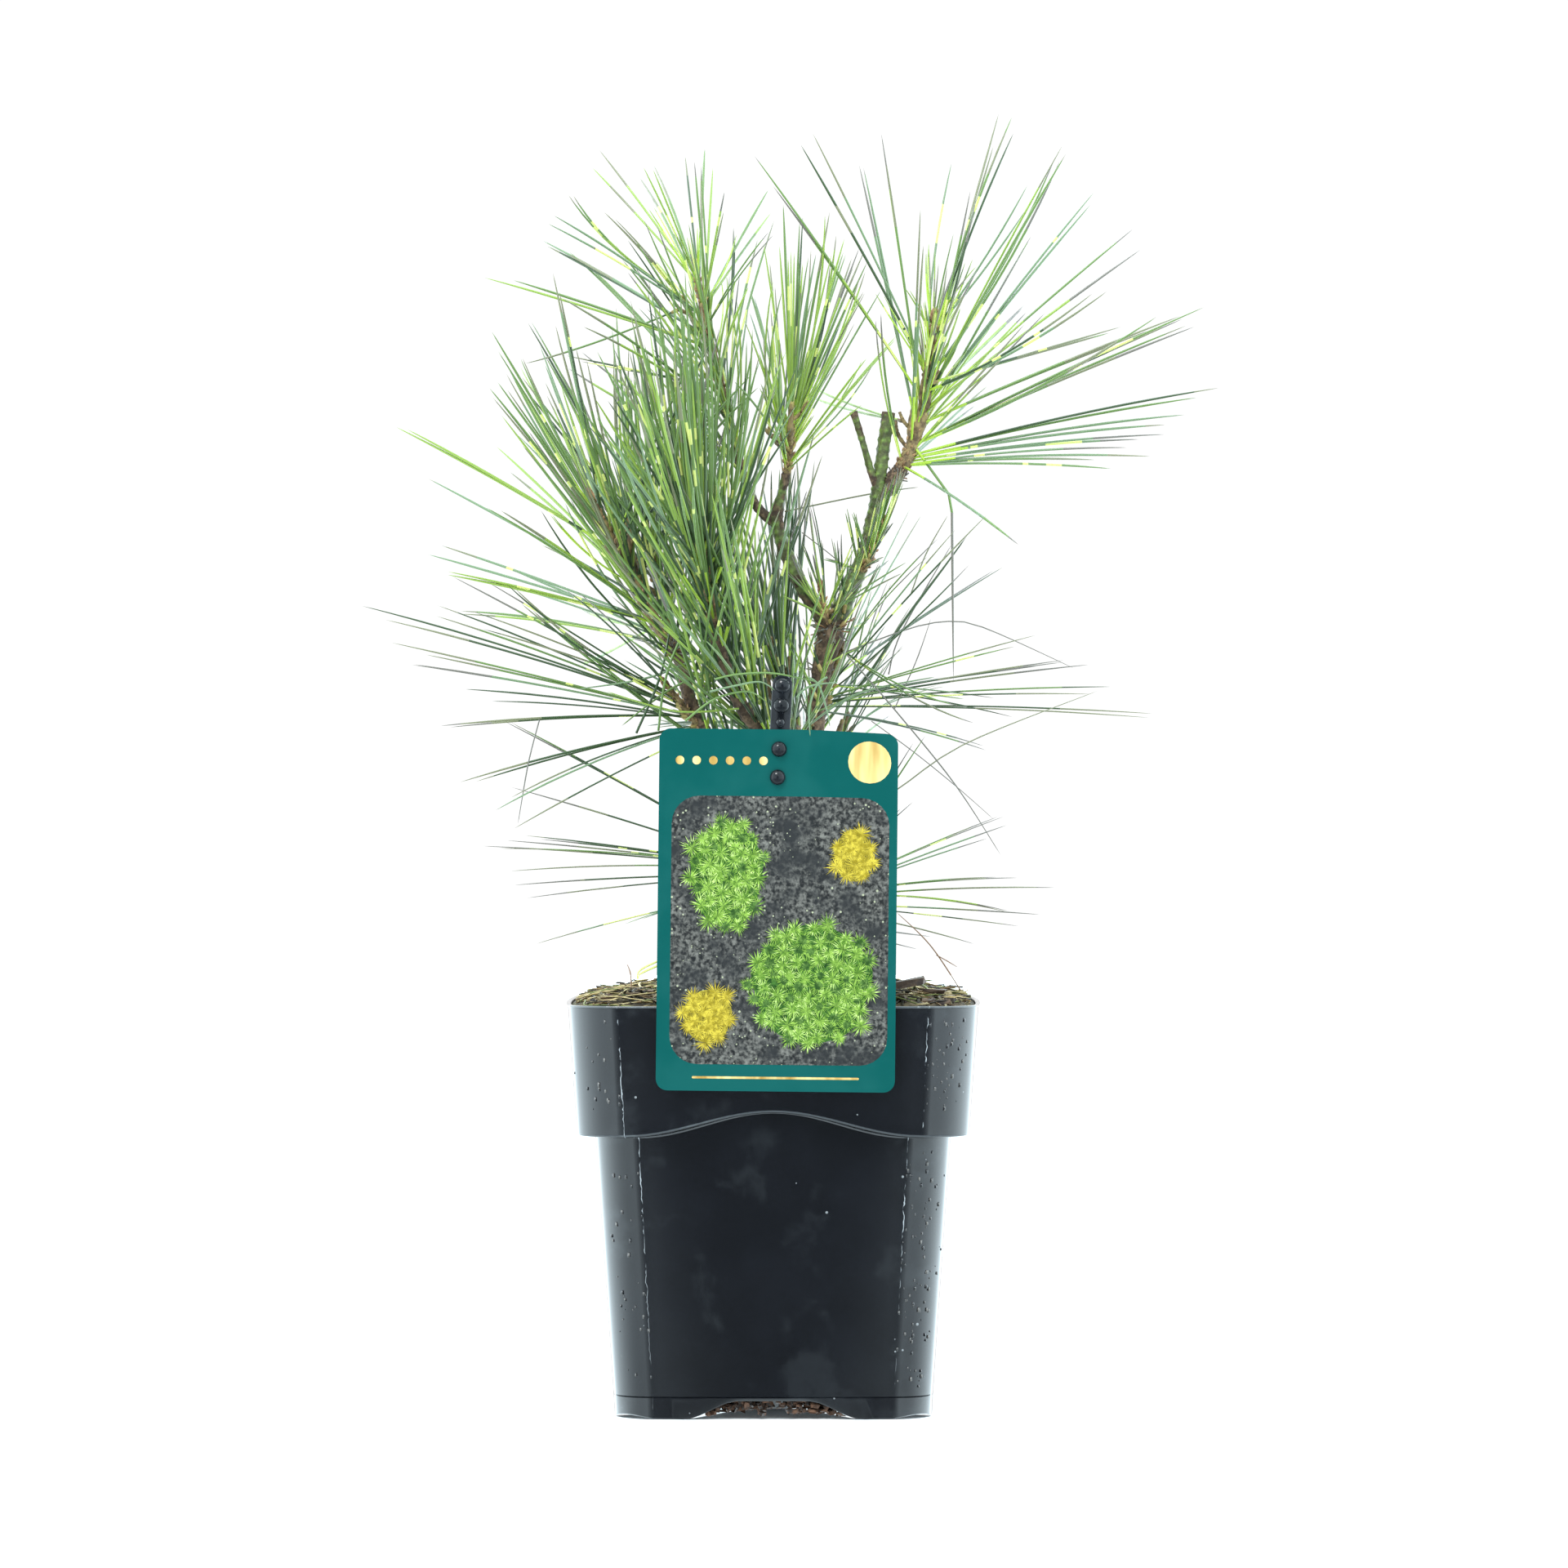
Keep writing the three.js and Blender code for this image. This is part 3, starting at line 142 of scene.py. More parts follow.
SHOOTS = [
    shoot_of(
        "needles_top_right", 11, pairs=20, young=30, twigs=2, shortest=0.5,
        length=(108, 124), spread=(86, 14), lean=(0.26, 0, 0),
        grey=0.62, tones=(0.24, 0.46, 0.66), lime=0.9, radii=[2.9, 2.7, 2.5, 1.3],
        stem=[(51.7, 0.8, 381.6), (55.4, 0.5, 388.5), (61.6, -0.5, 407.5), (65.3, -1, 441)],
        reach=[(-8, 510), (16, 519), (44, 519), (92, 527), (118, 514), (131, 495), (147, 480),
               (176, 448), (182, 415), (168, 404), (154, 387), (138, 382), (100, 351), (35, 506),
               (60, 488), (160, 396), (172, 440)],
        edge=[(4, 470), (6, 425), (18, 402), (62, 358)],
        folded={"root": 0.4, "forward": 6, "fold": (72.8, 369.9), "end": (73.5, 294.2)},
    ),
    shoot_of(
        "needles_leader", 23, pairs=19, young=8, twigs=1, cover=15, shortest=0.5,
        length=(70, 108), spread=(84, 50), lean=(0.08, 0, 0.12),
        grey=0.4, tones=(0.34, 0.7, 0.78), radii=[1.8, 1.8, 1.7, 1.1],
        stem=[(-18.3, 9.1, 404.5), (-22.5, 8, 420), (-28, 5, 443), (-31.3, 4, 461.7)],
        foot=[(-7.3, 8, 367.7), (-13.7, 10, 384.3), (-16, 9.6, 394)],
        reach=[(-118, 460), (-94, 475), (-92, 482), (-71, 512), (-53, 505), (-28, 513),
               (-20, 495), (-2, 496)],
        edge=[(10, 460), (8, 420), (-20, 390), (-100, 425)],
    ),
    shoot_of(
        "needles_left", 37, pairs=46, young=10, twigs=3, shortest=0.55,
        length=(94, 116), spread=(72, 18), lean=(0.26, 0, 0.38),
        grey=0.25, tones=(0.38, 0.74, 0.8), shade=0.34, radii=[2.6, 2.4, 2.1, 1.2],
        stem=[(-43.7, -9.1, 312.6), (-52.3, -9, 326.7), (-59.5, -8, 341), (-73, -6, 368)],
        foot=[(-8, -5, 246), (-20, -6, 262), (-27, -8, 273), (-33.5, -10, 286), (-37.3, -10, 302)],
        reach=[(-115, 438), (-90, 462), (-116, 415), (-113, 391), (-154, 399), (-141, 378),
               (-117, 366), (-141, 347), (-133, 340)],
        edge=[(-60, 468), (-20, 455), (0, 400), (-2, 330), (-40, 290)],
    ),
    shoot_of(
        "needles_front", 41, pairs=100, young=8, twigs=1,
        length=(100, 132), spread=(74, 14), lean=(0.07, 0, 0.36),
        grey=0.12, tones=(0.36, 0.74, 0.8), shade=0.5, radii=[2.4, 2.2, 1.2],
        stem=[(-24.2, -29.2, 319), (-26.5, -32, 331), (-28.6, -34, 350)],
        foot=[(8, -3, 256), (2, -8, 268), (-6, -14, 276), (-14, -20, 287), (-21, -26, 305)],
        reach=[(-72, 430), (-51, 459), (-33, 462), (-10, 450), (10, 425)],
        edge=[(36, 395), (40, 300), (-10, 288), (-60, 300), (-84, 390)],
    ),
    shoot_of(
        "needles_middle", 53, pairs=24, young=14, twigs=2,
        length=(70, 96), spread=(74, 12), lean=(0.1, 0, 0.12),
        grey=0.3, lime=0.8, radii=[1.6, 1.5, 1],
        stem=[(5.4, 5.1, 380), (6.6, 4, 388), (7.6, 2.6, 402)],
        reach=[(35, 472), (44, 455), (6, 468), (-4, 474), (38, 427), (50, 436), (36, 408),
               (4, 490), (12, 485), (23, 487), (29, 476), (32, 468)],
        edge=[(24, 396), (-8, 392), (-20, 430)],
    ),
    shoot_of(
        "needles_low_left", 67, pairs=8, shortest=0.7,
        length=(94, 116), spread=(92, 20), lean=(-0.15, 0, -0.2),
        grey=0.55, tones=SHADED_TONES, girth=0.75, radii=[1.6, 1.4, 1.2, 0.8],
        stem=[(-27, -8, 273), (-33, -12, 280), (-38, -16, 287), (-42, -20, 292)],
        reach=[(-168, 326), (-156, 311), (-148, 302), (-131, 338), (-136, 277), (-126, 292),
               (-128, 254), (-106, 235)],
        edge=[(-60, 355), (-10, 340), (-10, 270), (-60, 240)],
    ),
    shoot_of(
        "needles_right", 79, pairs=5, bare=True,
        length=(92, 118), spread=(96, 24), lean=(0.3, 0, -0.22),
        grey=0.65, tones=SHADED_TONES, girth=0.66, radii=[1.4, 1.2, 1, 0.7],
        stem=[(17.6, 0.2, 281), (21, 2, 290), (25, 4, 301), (29, 5, 312)],
        reach=[(129, 302), (138, 293), (155, 282), (118, 303), (107, 314), (94, 342), (87, 363),
               (56, 366), (87, 267)],
        edge=[(40, 345), (10, 325), (-20, 300), (0, 262), (60, 250)],
    ),
    shoot_of(
        "needles_under_left", 83, pairs=3, twigs=1, shortest=0.7, bare=True,
        length=(92, 112), spread=(80, 20), lean=(-0.2, 0, -0.08),
        grey=0.85, tones=SHADED_TONES, girth=0.62, radii=[1.9, 1.8, 1.6, 1.1],
        stem=[(7, 3, 208), (-1, 9, 215), (-10, 13, 222), (-16, 15, 230)],
        reach=[(-110, 279), (-107, 252), (-119, 228), (-112, 227), (-106, 212), (-97, 188),
               (-61, 196)],
        edge=[(-30, 185), (30, 190), (20, 290), (-60, 300)],
    ),
    shoot_of(
        "needles_under_right", 97, pairs=3, twigs=1, shortest=0.7, bare=True,
        length=(76, 98), spread=(84, 24), lean=(0.25, 0, -0.2),
        grey=0.85, tones=SHADED_TONES, girth=0.62, radii=[1.9, 1.8, 1.6, 1.1],
        stem=[(6, 3, 196), (17, 8, 203), (24, 10, 210), (30, 11, 218)],
        reach=[(62, 273), (94, 240), (115, 211), (100, 215), (109, 200), (82, 188), (57, 246)],
        edge=[(50, 185), (-30, 185), (-20, 260), (30, 285)],
    ),
    shoot_of(
        "needles_back", 101, pairs=54, young=6, twigs=3,
        length=(88, 110), spread=(72, 18), lean=(-0.05, 0, 0.4),
        grey=0.3, tones=(0.05, 0.42, 0.8), shade=0.7, radii=[2.2, 2.1, 1.8, 1.1],
        stem=[(13.6, 1, 257), (9, 14, 272), (3, 26, 290), (0, 33, 308)],
        edge=[(-75, 330), (-64, 400), (-30, 440), (8, 425), (22, 350), (60, 300), (50, 250),
              (-40, 240), (-70, 280)],
    ),
    shoot_of(
        "needles_back_right", 113, pairs=9, twigs=2, bare=True,
        length=(84, 104), spread=(70, 14), lean=(0.05, 0, 0.2),
        grey=0.6, tones=(0.06, 0.35, 0.85), girth=0.75, radii=[2.1, 2, 1.7, 1.1],
        stem=[(11.3, 2, 241), (20, 16, 253), (27, 28, 268), (31, 36, 284)],
        edge=[(84, 300), (76, 340), (50, 338), (30, 328), (0, 330), (-20, 280), (20, 230),
              (70, 220), (86, 260)],
    ),
    shoot_of(
        "needles_back_left", 127, pairs=36, young=8, twigs=2,
        length=(92, 124), spread=(62, 14), lean=(0.16, 0, 0.4),
        grey=0.25, tones=(0.3, 0.68, 0.76), shade=0.4, radii=[2.1, 2, 1.7, 1.1],
        stem=[(-36.6, -9.8, 299), (-42, 0, 316), (-48, 10, 336), (-52, 17, 356)],
        edge=[(-130, 395), (-108, 438), (-60, 462), (-20, 448), (-8, 380), (-25, 300),
              (-100, 290), (-140, 340)],
    ),
    shoot_of(
        "needles_limb_side", 131, pairs=28,
        length=(26, 46), spread=(58, 18), lean=(0.1, 0, 0.2),
        grey=0.5, tones=(0.34, 0.66, 0.88), radii=[1.4, 1.3, 1.1, 0.8],
        stem=[(34, -1, 339), (38.6, -5.6, 343), (41, -7.2, 349), (43.2, -8, 357)],
        foot=[(25, -5, 312), (28.5, -4, 322), (31, -3, 331)],
        reach=[(20, 345), (30, 366), (54, 381), (49, 360), (45, 346)],
        edge=[(30, 325), (42, 325)],
    ),
    shoot_of(
        "needles_knot", 139, pairs=24, shortest=0.45,
        length=(20, 52), spread=(70, 30), lean=(0, 0, 0.2),
        grey=0.6, tones=(0.3, 0.62, 0.88), radii=[1.4, 1.2, 0.8],
        stem=[(23.6, -1, 315), (21.2, -5.5, 322), (20, -7.5, 330)],
        foot=[(14, -6, 262), (17, -6.5, 280), (20, -7, 298)],
        reach=[(12, 352), (27, 350), (33, 353), (6, 340), (38, 338)],
        edge=[(-18, 300), (-12, 350), (4, 384), (30, 385), (58, 350), (62, 290), (20, 262)],
    ),
]
# Where the eye stands, a direction that hardly any piece lies along, and the card's place.
EYE = Vector((4.3, -2667, 253.3))
ASKEW = Vector((0.31, 0.87, 0.38))
GOLDEN_ANGLE = 137.508
CARD_CENTRE = Vector((1.6, -86.5, 203.4))
CARD_SIZE = (94.4, 143.0)
CARD_TOP = CARD_CENTRE.z + CARD_SIZE[1] / 2


def length_property(name, description, default):
    return FloatProperty(name=name, description=description, default=default, min=0.0, unit="LENGTH")


def strength_property(name, description, default):
    return FloatProperty(name=name, description=description, default=default, min=0.0)


def count_property(name, description, default):
    return IntProperty(name=name, description=description, default=default, min=0)


def colour_property(name, description, default):
    return FloatVectorProperty(
        name=name, description=description, default=default, size=3, min=0.0, max=1.0, subtype="COLOR"
    )


def share_property(name, description, default):
    return FloatProperty(
        name=name, description=description, default=default, min=0.0, max=1.0, subtype="FACTOR"
    )


class PotSettings(bpy.types.PropertyGroup):
    """Sizes and finish of the nursery pot."""

    height: length_property("Height", "From the underside to the rim", 165.3 * MM)
    wall: length_property("Wall", "Thickness of the plastic", 1.6 * MM)
    foot: length_property("Foot", "Half width at the foot", 65 * MM)
    shoulder: length_property("Shoulder", "Half width under the collar", 72.8 * MM)
    collar: length_property("Collar", "Half width at the collar's lower edge", 80.3 * MM)
    rim: length_property("Rim", "Half width under the rim's lip", 83.7 * MM)
    shoulder_height: length_property("Shoulder height", "The collar's lower edge at a corner", 113 * MM)
    shoulder_rise: length_property("Shoulder rise", "How much higher that edge is mid-side", 10 * MM)
    arch: length_property("Arch", "Height of the drainage arches", 7.4 * MM)
    plastic: colour_property("Plastic", "Colour of the plastic", (0.0034, 0.0038, 0.0052))
    film: colour_property("Film", "Colour of dried water marks", (0.06, 0.068, 0.075))
    # The scuff colour is partly wear and partly a painted highlight along the creases.
    scuff_and_highlight: colour_property("Scuff", "Colour of scuffed creases", (0.5, 0.54, 0.57))
    # The edge colour is a painted highlight along the collar's lower edge and the rim's lip.
    edge: colour_property("Edge", "Colour of rubbed edges", (0.075, 0.084, 0.09))


class SoilSettings(bpy.types.PropertyGroup):
    """The heaped soil and the litter on it."""

    earth: colour_property("Earth", "Colour of damp soil", (0.018, 0.013, 0.008))
    crust: colour_property("Crust", "Colour of dry soil", (0.12, 0.09, 0.05))
    moss: colour_property("Moss", "Colour of moss", (0.06, 0.085, 0.02))
    straw_count: count_property("Dry needles", "Dry needles in the litter", 1300)
    chip_count: count_property("Chips", "Bark chips in the litter", 420)
    crumb_count: count_property("Crumbs", "Crumbs in the litter", 1500)


class WoodSettings(bpy.types.PropertyGroup):
    """Bark of the trunk and boughs."""

    ring_step: length_property("Ring step", "Distance between the rings of a limb", 1.1 * MM)
    sides: IntProperty(name="Sides", description="Faces round a limb", default=28, min=8, max=64)
    green: colour_property("Green bark", "Colour of young bark", (0.15, 0.235, 0.045))
    green_shade: colour_property("Green shade", "Colour between its scars", (0.045, 0.08, 0.014))
    brown: colour_property("Brown bark", "Colour of scaly bark", (0.18, 0.118, 0.07))
    brown_shade: colour_property("Brown shade", "Colour of its cracks", (0.036, 0.022, 0.014))


class FoliageSettings(bpy.types.PropertyGroup):
    """Needles, and how densely they stand."""

    width: length_property("Needle width", "Width of a needle at its middle", 1.15 * MM)
    lime: colour_property("Lime", "Needle bases", (0.26, 0.39, 0.03))
    fresh: colour_property("Fresh", "Yellow-green needles", (0.17, 0.26, 0.035))
    mid: colour_property("Mid", "Green needles", (0.085, 0.15, 0.033))
    # The dark green is partly the needles' own colour and partly painted shade.
    deep: colour_property("Deep", "Dark needles", (0.024, 0.05, 0.014))
    blue: colour_property("Blue", "Blue-green needles", (0.1, 0.16, 0.075))
    band: colour_property("Band", "Pale bands", (0.42, 0.46, 0.12))
    olive: colour_property("Olive", "Outer ends", (0.125, 0.132, 0.07))
    grey: colour_property("Grey", "Grey-brown ends", (0.105, 0.098, 0.08))
    dry: colour_property("Dry", "Dead needles", (0.2, 0.105, 0.05))


class CardSettings(bpy.types.PropertyGroup):
    """The picture card and its stake."""

    width: length_property("Width", "Width of the card", CARD_SIZE[0] * MM)
    height: length_property("Height", "Height of the card", CARD_SIZE[1] * MM)
    thickness: length_property("Thickness", "Thickness of the card", 0.6 * MM)
    corner: length_property("Corner", "Radius of its corners", 4.6 * MM)
    curl: length_property("Curl", "How far its upper right corner bends back", 2.2 * MM)
    ground: colour_property("Ground", "Colour of the printed ground", (0.0, 0.054, 0.0495))
    gold: colour_property("Gold", "Colour of the plain badge", (0.3, 0.17, 0.035))
    stake: colour_property("Stake", "Colour of the stake", (0.0045, 0.0052, 0.0066))


class StageSettings(bpy.types.PropertyGroup):
    """Floor, lights and camera."""

    floor: colour_property("Floor", "Colour of the floor", (0.9, 0.9, 0.9))
    sky: strength_property("Surround", "Strength of the pale surround", 1.05)
    glow: strength_property("Glow", "Strength of the bright sides", 2.05)
    back_glow: strength_property("Back glow", "Strength added behind", 2.3)
    dark: share_property("Dark front", "Strength in front of the pot", 0.13)
    tint: colour_property("Tint", "Colour of the bright sides", (0.79, 0.935, 1.0))
    side_light: strength_property("Side lights", "Power of the side lights", 1.0)
    top_light: strength_property("Top light", "Power of the light above", 22.0)
    eye: FloatVectorProperty(
        name="Eye", description="Where the camera stands", default=(0.00433, -2.667, 0.2533), size=3,
        subtype="TRANSLATION",
    )
    lens: FloatProperty(name="Lens", description="Focal length in millimetres", default=150.0, min=1.0)


# Shader nodes.
def set_input(tree, socket, value):
    """Gives an input a value, or joins it to the socket that feeds it."""
    if isinstance(value, bpy.types.NodeSocket):
        tree.links.new(value, socket)
    elif socket.type == "RGBA":
        socket.default_value = (*value[:3], 1.0)
    else:
        socket.default_value = value


def add_node(tree, kind, inputs=None, **settings):
    """Adds a node. Inputs hold values or the sockets that feed them, by name or number."""
    node = tree.nodes.new(kind)
    for key, value in settings.items():
        setattr(node, key, value)
    for key, value in (inputs or {}).items():
        set_input(tree, node.inputs[key], value)
    return node


def calculate(tree, operation, first, second=0.0):
    return add_node(tree, "ShaderNodeMath", {0: first, 1: second}, operation=operation).outputs[0]


def times(tree, first, second):
    return calculate(tree, "MULTIPLY", first, second)


def fit(tree, value, low, high, to_low=0.0, to_high=1.0):
    """Maps a value from low..high to to_low..to_high, with soft ends."""
    inputs = {"Value": value, "From Min": low, "From Max": high, "To Min": to_low, "To Max": to_high}
    return add_node(tree, "ShaderNodeMapRange", inputs, interpolation_type="SMOOTHSTEP").outputs["Result"]


def ranged(tree, share, low, high):
    """Maps a share to low..high."""
    return fit(tree, share, 0.0, 1.0, low, high)


def cloud(tree, where, scale, detail, roughness=0.5):
    inputs = {"Vector": where, "Scale": scale, "Detail": detail, "Roughness": roughness}
    return add_node(tree, "ShaderNodeTexNoise", inputs).outputs[0]


def attribute(tree, name):
    return add_node(tree, "ShaderNodeAttribute", attribute_name=name).outputs["Fac"]


def blend_colours(tree, share, first, second):
    node = add_node(tree, "ShaderNodeMix", {"Factor": share}, data_type="RGBA")
    for name, value in (("A", first), ("B", second)):
        set_input(tree, next(s for s in node.inputs if s.name == name and s.type == "RGBA"), value)
    return next(s for s in node.outputs if s.type == "RGBA")


def start_group(name, inputs, outputs):
    """A new shader group: its tree, what it is given and what it puts out.

    Sockets go by name, each with its kind, or with the default of a number.
    """
    tree = bpy.data.node_groups.new(name, "ShaderNodeTree")
    for socket, value in inputs.items():
        kind = value if isinstance(value, str) else "Float"
        made = tree.interface.new_socket(socket, in_out="INPUT", socket_type="NodeSocket" + kind)
        if kind == "Float":
            made.default_value = value
    for socket, kind in outputs.items():
        tree.interface.new_socket(socket, in_out="OUTPUT", socket_type="NodeSocket" + kind)
    return tree, tree.nodes.new("NodeGroupInput").outputs, tree.nodes.new("NodeGroupOutput").inputs


def mottle_group(name):
    """Soft patches of two colours."""
    inputs = {"Vector": "Vector", "Scale": 60.0, "Detail": 4.0, "Low": 0.4, "High": 0.6,
              "Dark": "Color", "Light": "Color"}
    tree, given, result = start_group(name, inputs, {"Color": "Color", "Mask": "Float"})
    patches = cloud(tree, given["Vector"], given["Scale"], given["Detail"], 0.6)
    mask = fit(tree, patches, given["Low"], given["High"])
    tree.links.new(blend_colours(tree, mask, given["Dark"], given["Light"]), result["Color"])
    tree.links.new(mask, result["Mask"])
    return tree


def flecks_group(name):
    """Small scattered spots of uneven size."""
    inputs = {"Vector": "Vector", "Scale": 200.0, "Size": 0.3, "Share": 0.3}
    tree, given, result = start_group(name, inputs, {"Mask": "Float"})
    cells = add_node(tree, "ShaderNodeTexVoronoi", {"Vector": given["Vector"], "Scale": given["Scale"]})
    draw = add_node(tree, "ShaderNodeSeparateColor", {"Color": cells.outputs["Color"]}).outputs
    chosen = calculate(tree, "LESS_THAN", draw["Red"], given["Share"])
    near = calculate(tree, "LESS_THAN", cells.outputs["Distance"], times(tree, draw["Green"], given["Size"]))
    tree.links.new(times(tree, chosen, near), result["Mask"])
    return tree


def scuff_and_highlight_group(name):
    """A broken line along an edge, from the distance to it: partly wear, partly a painted highlight."""
    inputs = {"Vector": "Vector", "Distance": 1.0, "Width": 0.001, "Break": 0.5}
    tree, given, result = start_group(name, inputs, {"Mask": "Float"})
    fine = cloud(tree, given["Vector"], 260.0, 5.0)
    coarse = cloud(tree, given["Vector"], 28.0, 2.0)
    wobble = fit(tree, fine, 0.3, 0.7, -0.35 * MM, 0.35 * MM)
    away = calculate(tree, "ABSOLUTE", calculate(tree, "ADD", given["Distance"], wobble))
    line = fit(tree, calculate(tree, "DIVIDE", away, given["Width"]), 1.0, 0.2)
    patchy = times(tree, calculate(tree, "ADD", fine, coarse), 0.5)
    broken = fit(tree, patchy, given["Break"], calculate(tree, "ADD", given["Break"], 0.1))
    tree.links.new(times(tree, line, broken), result["Mask"])
    return tree


def place_group(tree, name, build, inputs):
    """Places a shader group, built at its first use, and returns its outputs."""
    group = bpy.data.node_groups.get(name) or build(name)
    return add_node(tree, "ShaderNodeGroup", inputs, node_tree=group).outputs


def mottle(tree, where, scale, dark=None, light=None, **given):
    inputs = {"Vector": where, "Scale": scale, **given}
    if dark is not None:
        inputs.update(Dark=dark, Light=light)
    return place_group(tree, "Mottle", mottle_group, inputs)


def flecks(tree, where, scale, size, share):
    inputs = {"Vector": where, "Scale": scale, "Size": size, "Share": share}
    return place_group(tree, "Flecks", flecks_group, inputs)["Mask"]


def start_material(name, **sockets):
    """A new material, its tree, its Principled shader and its object coordinates."""
    material = bpy.data.materials.new(name)
    material.use_nodes = True
    tree = material.node_tree
    shader = tree.nodes["Principled BSDF"]
    for key, value in sockets.items():
        set_input(tree, shader.inputs[key.replace("_", " ")], value)
    return material, tree, shader, tree.nodes.new("ShaderNodeTexCoord").outputs["Object"]


def feed(tree, shader, colour=None, roughness=None, height=None, strength=0.3, distance=0.5 * MM):
    """Joins colour, roughness and relief to a shader."""
    for name, socket in (("Base Color", colour), ("Roughness", roughness)):
        if socket is not None:
            tree.links.new(socket, shader.inputs[name])
    if height is not None:
        inputs = {"Strength": strength, "Distance": distance, "Height": height}
        bump = add_node(tree, "ShaderNodeBump", inputs)
        tree.links.new(bump.outputs["Normal"], shader.inputs["Normal"])


def tinted(colour, by):
    return [by * c for c in colour]


def pot_plastic(settings):
    """Glossy black plastic with dried water marks and dust, scuffed creases that also carry a painted
    highlight, and a painted highlight along the collar's lower edge and the rim.
    """
    material, tree, shader, where = start_material("pot_plastic", Specular_IOR_Level=0.7)
    body = mottle(tree, where, 30.0, settings.plastic, tinted(settings.plastic, 1.35), Low=0.35, High=0.65)
    marks = mottle(tree, where, 42.0, Detail=7.0, Low=0.53, High=0.66)["Mask"]
    crease = attribute(tree, "crease")
    faint = times(tree, marks, fit(tree, crease, -14 * MM, 2 * MM, 0.2, 0.08))
    colour = blend_colours(tree, faint, body["Color"], settings.film)
    dust = times(tree, flecks(tree, where, 330.0, 0.22, 0.05), 0.5)
    colour = blend_colours(tree, dust, colour, (0.3, 0.32, 0.33))
    # On the creases: scuffs and a painted highlight in one pale line, stronger higher up the pot.
    inputs = {"Vector": where, "Distance": crease, "Width": 0.22 * MM, "Break": 0.5}
    scuff_and_highlight = place_group(tree, "Edge scuff", scuff_and_highlight_group, inputs)["Mask"]
    height = add_node(tree, "ShaderNodeSeparateXYZ", {"Vector": where}).outputs["Z"]
    scuff_and_highlight_share = times(tree, scuff_and_highlight, fit(tree, height, 25 * MM, 95 * MM, 0.12, 0.55))
    colour = blend_colours(tree, scuff_and_highlight_share, colour, settings.scuff_and_highlight)
    # Painted highlight: the collar's lower edge and the rim's lip are painted lighter.
    rubbed = times(tree, attribute(tree, "rubbed"), ranged(tree, marks, 0.6, 1.0))
    colour = blend_colours(tree, rubbed, colour, settings.edge)
    rough = calculate(tree, "MAXIMUM", ranged(tree, marks, 0.08, 0.13), times(tree, scuff_and_highlight, 0.6))
    feed(tree, shader, colour, rough, cloud(tree, where, 30.0, 1.0), strength=0.1, distance=1.0 * MM)
    return material


def soil_earth(settings):
    """Crumbly potting soil with moss."""
    material, tree, shader, where = start_material("potting_soil", Specular_IOR_Level=0.2)
    earth = mottle(tree, where, 220.0, settings.earth, settings.crust, Detail=8.0, Low=0.38, High=0.68)
    mossy = mottle(tree, where, 24.0, Detail=5.0, Low=0.5, High=0.64)["Mask"]
    grit = flecks(tree, where, 420.0, 0.4, 0.14)
    colour = blend_colours(tree, times(tree, mossy, 0.6), earth["Color"], settings.moss)
    colour = blend_colours(tree, times(tree, grit, 0.7), colour, (0.3, 0.22, 0.13))
    rough = ranged(tree, earth["Mask"], 0.75, 0.97)
    feed(tree, shader, colour, rough, cloud(tree, where, 260.0, 9.0), strength=0.9, distance=1.6 * MM)
    return material


def litter_stuff(name, dark, light, scale=160.0):
    """Dry plant matter that varies from piece to piece."""
    material, tree, shader, where = start_material(name, Specular_IOR_Level=0.3)
    tint = mottle(tree, where, scale, dark, light, Detail=5.0, Low=0.36, High=0.64)
    grain = cloud(tree, where, 1500.0, 3.0)
    rough = ranged(tree, tint["Mask"], 0.5, 0.8)
    feed(tree, shader, tint["Color"], rough, grain, strength=0.4, distance=0.2 * MM)
    return material


def bark(settings):
    """Bark that goes from smooth green to scaly brown by the limb's own measure."""
    material, tree, shader, where = start_material("bark", Specular_IOR_Level=0.35)
    green = mottle(
        tree, where, 330.0, settings.green_shade, settings.green, Detail=5.0, Low=0.38, High=0.62
    )
    brown = mottle(tree, where, 420.0, settings.brown_shade, settings.brown, Detail=7.0, Low=0.4, High=0.62)
    share = calculate(tree, "ADD", attribute(tree, "brown"), cloud(tree, where, 170.0, 6.0))
    mask = fit(tree, share, 0.74, 0.9)
    colour = blend_colours(tree, mask, green["Color"], brown["Color"])
    shade = times(tree, attribute(tree, "hollow"), 0.75)
    colour = blend_colours(tree, shade, colour, settings.brown_shade)
    cracks = cloud(tree, where, 800.0, 6.0)
    feed(tree, shader, colour, ranged(tree, mask, 0.5, 0.85), cracks, strength=0.6)
    return material


def cut_wood():
    """The pale, uneven face of a pruned limb."""
    material, tree, shader, where = start_material("cut_wood", Roughness=0.75)
    pale = mottle(tree, where, 700.0, (0.16, 0.09, 0.045), (0.42, 0.32, 0.17))
    feed(tree, shader, pale["Color"], None, pale["Mask"], strength=0.4, distance=0.2 * MM)
    return material


NEEDLE_SIDES = 5
NEEDLE_TONES = ("lime", "fresh", "mid", "deep", "blue", "band", "olive", "grey", "dry")
TONE = {name: number for number, name in enumerate(NEEDLE_TONES)}


def needle_finish(name, colour):
    """A needle's waxy skin: one plain colour, with uneven gloss."""
    material, tree, shader, where = start_material(name, Base_Color=colour, Specular_IOR_Level=0.45)
    wax = mottle(tree, where, 180.0, Detail=2.0)["Mask"]
    feed(tree, shader, None, ranged(tree, wax, 0.3, 0.46))
    return material


def needle_materials(settings):
    """The needle finishes, in the order of NEEDLE_TONES."""
    made = []
    for tone in NEEDLE_TONES:
        name = "needle_" + tone
        made.append(bpy.data.materials.get(name) or needle_finish(name, getattr(settings, tone)))
    return made


